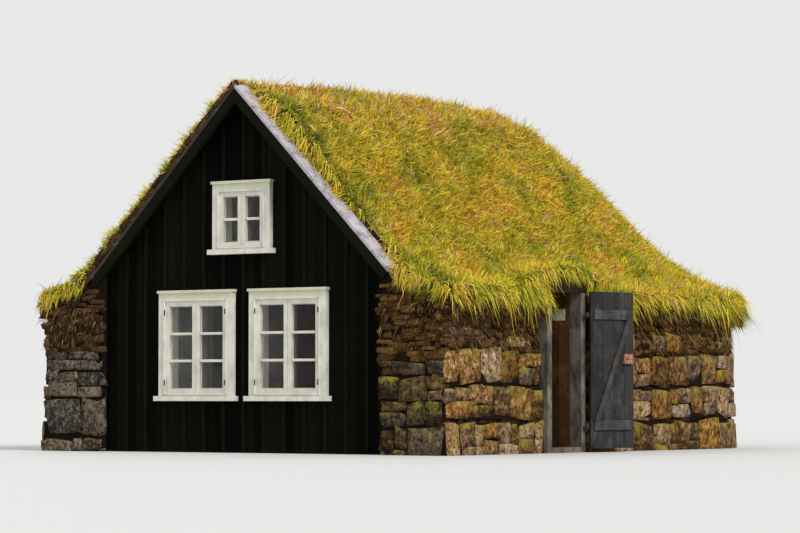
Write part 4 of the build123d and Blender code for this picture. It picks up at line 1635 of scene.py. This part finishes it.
@dataclass
class Doorway:
    """The boarded passage through the side wall, with its frame, a bare plate and the plank door."""

    plate_size: tuple = (0.16, 0.13, 0.006)
    plate_chamfer: float = 0.002
    plate_centre_z: float = 1.53
    plate_back: float = 0.14
    plank_count: int = 4
    open_angle: float = math.radians(165)

    def build(self) -> None:
        """Dresses the passage, hangs the plate and dresses the door."""
        REVEAL_BOARDS.dress("passage_lining", "passage_lintels")
        WEATHERED_POST.dress("door_post_front", "door_post_back", "door_sill")
        HEAD_BEAM.dress("door_head")
        PINTLE_IRON.dress("door_pintles", "door_hinge_straps")
        RUST.dress("door_lock")
        low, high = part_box("door_leaf")
        heading = self.open_angle - math.pi / 2
        planks = Boards(
            "door_planks_slate_paint", "grey_door_paint", dark="1b1a19", light="343332", gloss=0.15,
            pitch=math.hypot(high.x - low.x, high.y - low.y) / self.plank_count, joint_width=6 * MM,
            turn=heading, stain="464442", stain_share=0.3, tone_spread=0.25,
        )
        rails = Boards(
            "door_rails_slate_paint", "grey_door_paint", dark="21201f", light="42403e", rough=0.7,
            grain=Axis.X, turn=heading, stain="565452", gloss=0.15,
        )
        planks.dress("door_leaf")
        rails.dress("door_ledges", "door_brace")
        self.hang_plate()

    def hang_plate(self) -> None:
        """Fixes a bare plate to the far side of the passage, near its outer end."""
        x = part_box("passage_lining")[1].x - self.plate_back
        width, height, thick = self.plate_size
        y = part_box("door_post_back")[0].y - thick / 2
        z = self.plate_centre_z
        ends = [(x + side * width / 2, y, z) for side in (-1, 1)]
        new_piece("bare_plate", *bar(*ends, (0, 0, 1), height, thick, self.plate_chamfer), PLATE)


@dataclass
class Studio:
    """Pale floor, soft light and the camera at the photograph's viewing angle."""

    floor_half: float = 400.0
    sky: str = "e8e9e8"
    sky_light: float = 0.66
    camera_from_gable: tuple = (21.465, -27.222, 0.61)
    focal_pixels: float = 1500.0
    axis_angle: float = math.radians(27.0)
    frame_width: float = 800.0
    sensor_width: float = 36.0
    middle_pixel: tuple = (178.0, 352.0)
    principal_pixel: tuple = (400.0, 415.0)
    enlarge: float = 2.1
    # Name, strength, breadth in degrees and direction
    suns: tuple = (
        ("key_sun", 2.9, 12.0, (-0.78, 0.22, -0.6)),
        ("fill_sun", 0.6, 60.0, (0.35, 0.85, -0.4)),
        ("back_sun", 0.8, 60.0, (0.75, -0.5, -0.5)),
    )

    def build(self) -> None:
        """Makes the floor, the lights, the sky and the camera."""
        self.add_floor()
        self.add_suns()
        self.add_sky()
        self.add_camera()

    def add_floor(self) -> None:
        """Lays a large pale floor that renders near white for the camera."""
        half = self.floor_half
        mesh = bpy.data.meshes.new("studio_floor")
        corners = [(-half, -half, 0), (half, -half, 0), (half, half, 0), (-half, half, 0)]
        mesh.from_pydata(corners, [], [(0, 1, 2, 3)])
        mesh.materials.append(PALE_FLOOR.material())
        placed("studio_floor", mesh)

    def add_suns(self) -> None:
        """Adds a broad sun from the right and weaker ones from the front and from the left behind."""
        for name, energy, breadth, way in self.suns:
            lamp = bpy.data.lights.new(name, "SUN")
            lamp.energy = energy
            lamp.angle = math.radians(breadth)
            self.aim(placed(name, lamp), Vector(way))

    @staticmethod
    def aim(thing: bpy.types.Object, way: Vector) -> None:
        """Points a lamp or the camera along a direction."""
        thing.rotation_mode = "QUATERNION"
        thing.rotation_quaternion = way.to_track_quat("-Z", "Y")

    def add_sky(self) -> None:
        """Sets a soft even sky that shows pale to the camera, through glass and in reflections."""
        world = bpy.data.worlds.new("studio_sky")
        world.use_nodes = True
        nodes = Nodes(world.node_tree)
        shown = nodes.add("LightPath", out="Is Camera Ray")
        for kind in ("Is Transmission Ray", "Is Glossy Ray"):
            shown = nodes.add("Math", {0: shown, 1: nodes.add("LightPath", out=kind)}, operation="MAXIMUM")
        back = world.node_tree.nodes["Background"]
        strength = nodes.add("MapRange", {0: shown}, To_Min=self.sky_light)
        world.node_tree.links.new(strength, back.inputs["Strength"])
        back.inputs["Color"].default_value = linear(self.sky)
        bpy.context.scene.world = world
        bpy.context.scene.view_settings.view_transform = "Standard"

    def add_camera(self) -> None:
        """Aims the camera along the ray of the photograph's pixel in the middle of the house."""
        place = Vector(self.camera_from_gable) + Vector((0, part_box("gable_boarding")[0].y, 0))
        ahead = Vector((-math.sin(self.axis_angle), math.cos(self.axis_angle), 0))
        right = Vector((math.cos(self.axis_angle), math.sin(self.axis_angle), 0))
        step_x = (self.middle_pixel[0] - self.principal_pixel[0]) / self.focal_pixels
        step_z = (self.principal_pixel[1] - self.middle_pixel[1]) / self.focal_pixels
        lens = bpy.data.cameras.new("photo_camera")
        lens.sensor_width = self.sensor_width
        lens.lens = self.sensor_width * self.focal_pixels * self.enlarge / self.frame_width
        lens.clip_end = 1000.0
        camera = placed("photo_camera", lens)
        camera.location = place
        self.aim(camera, ahead + right * step_x + Vector((0, 0, step_z)))
        bpy.context.scene.camera = camera


def main() -> None:
    """Builds every sub-assembly in order."""
    logging.basicConfig(level=logging.INFO, format="%(name)s %(message)s")
    sweep = DoorSweep.of_door()
    facing = WallFacing(sweep)
    coat = GrassCoat(sweep)
    for assembly in (facing, Gable(), Inside(), Doorway(), coat, VergeTurf(facing, coat), Studio()):
        LOG.info("building %s", type(assembly).__name__)
        assembly.build()
    bpy.context.view_layer.update()


if __name__ == "__main__":
    main()
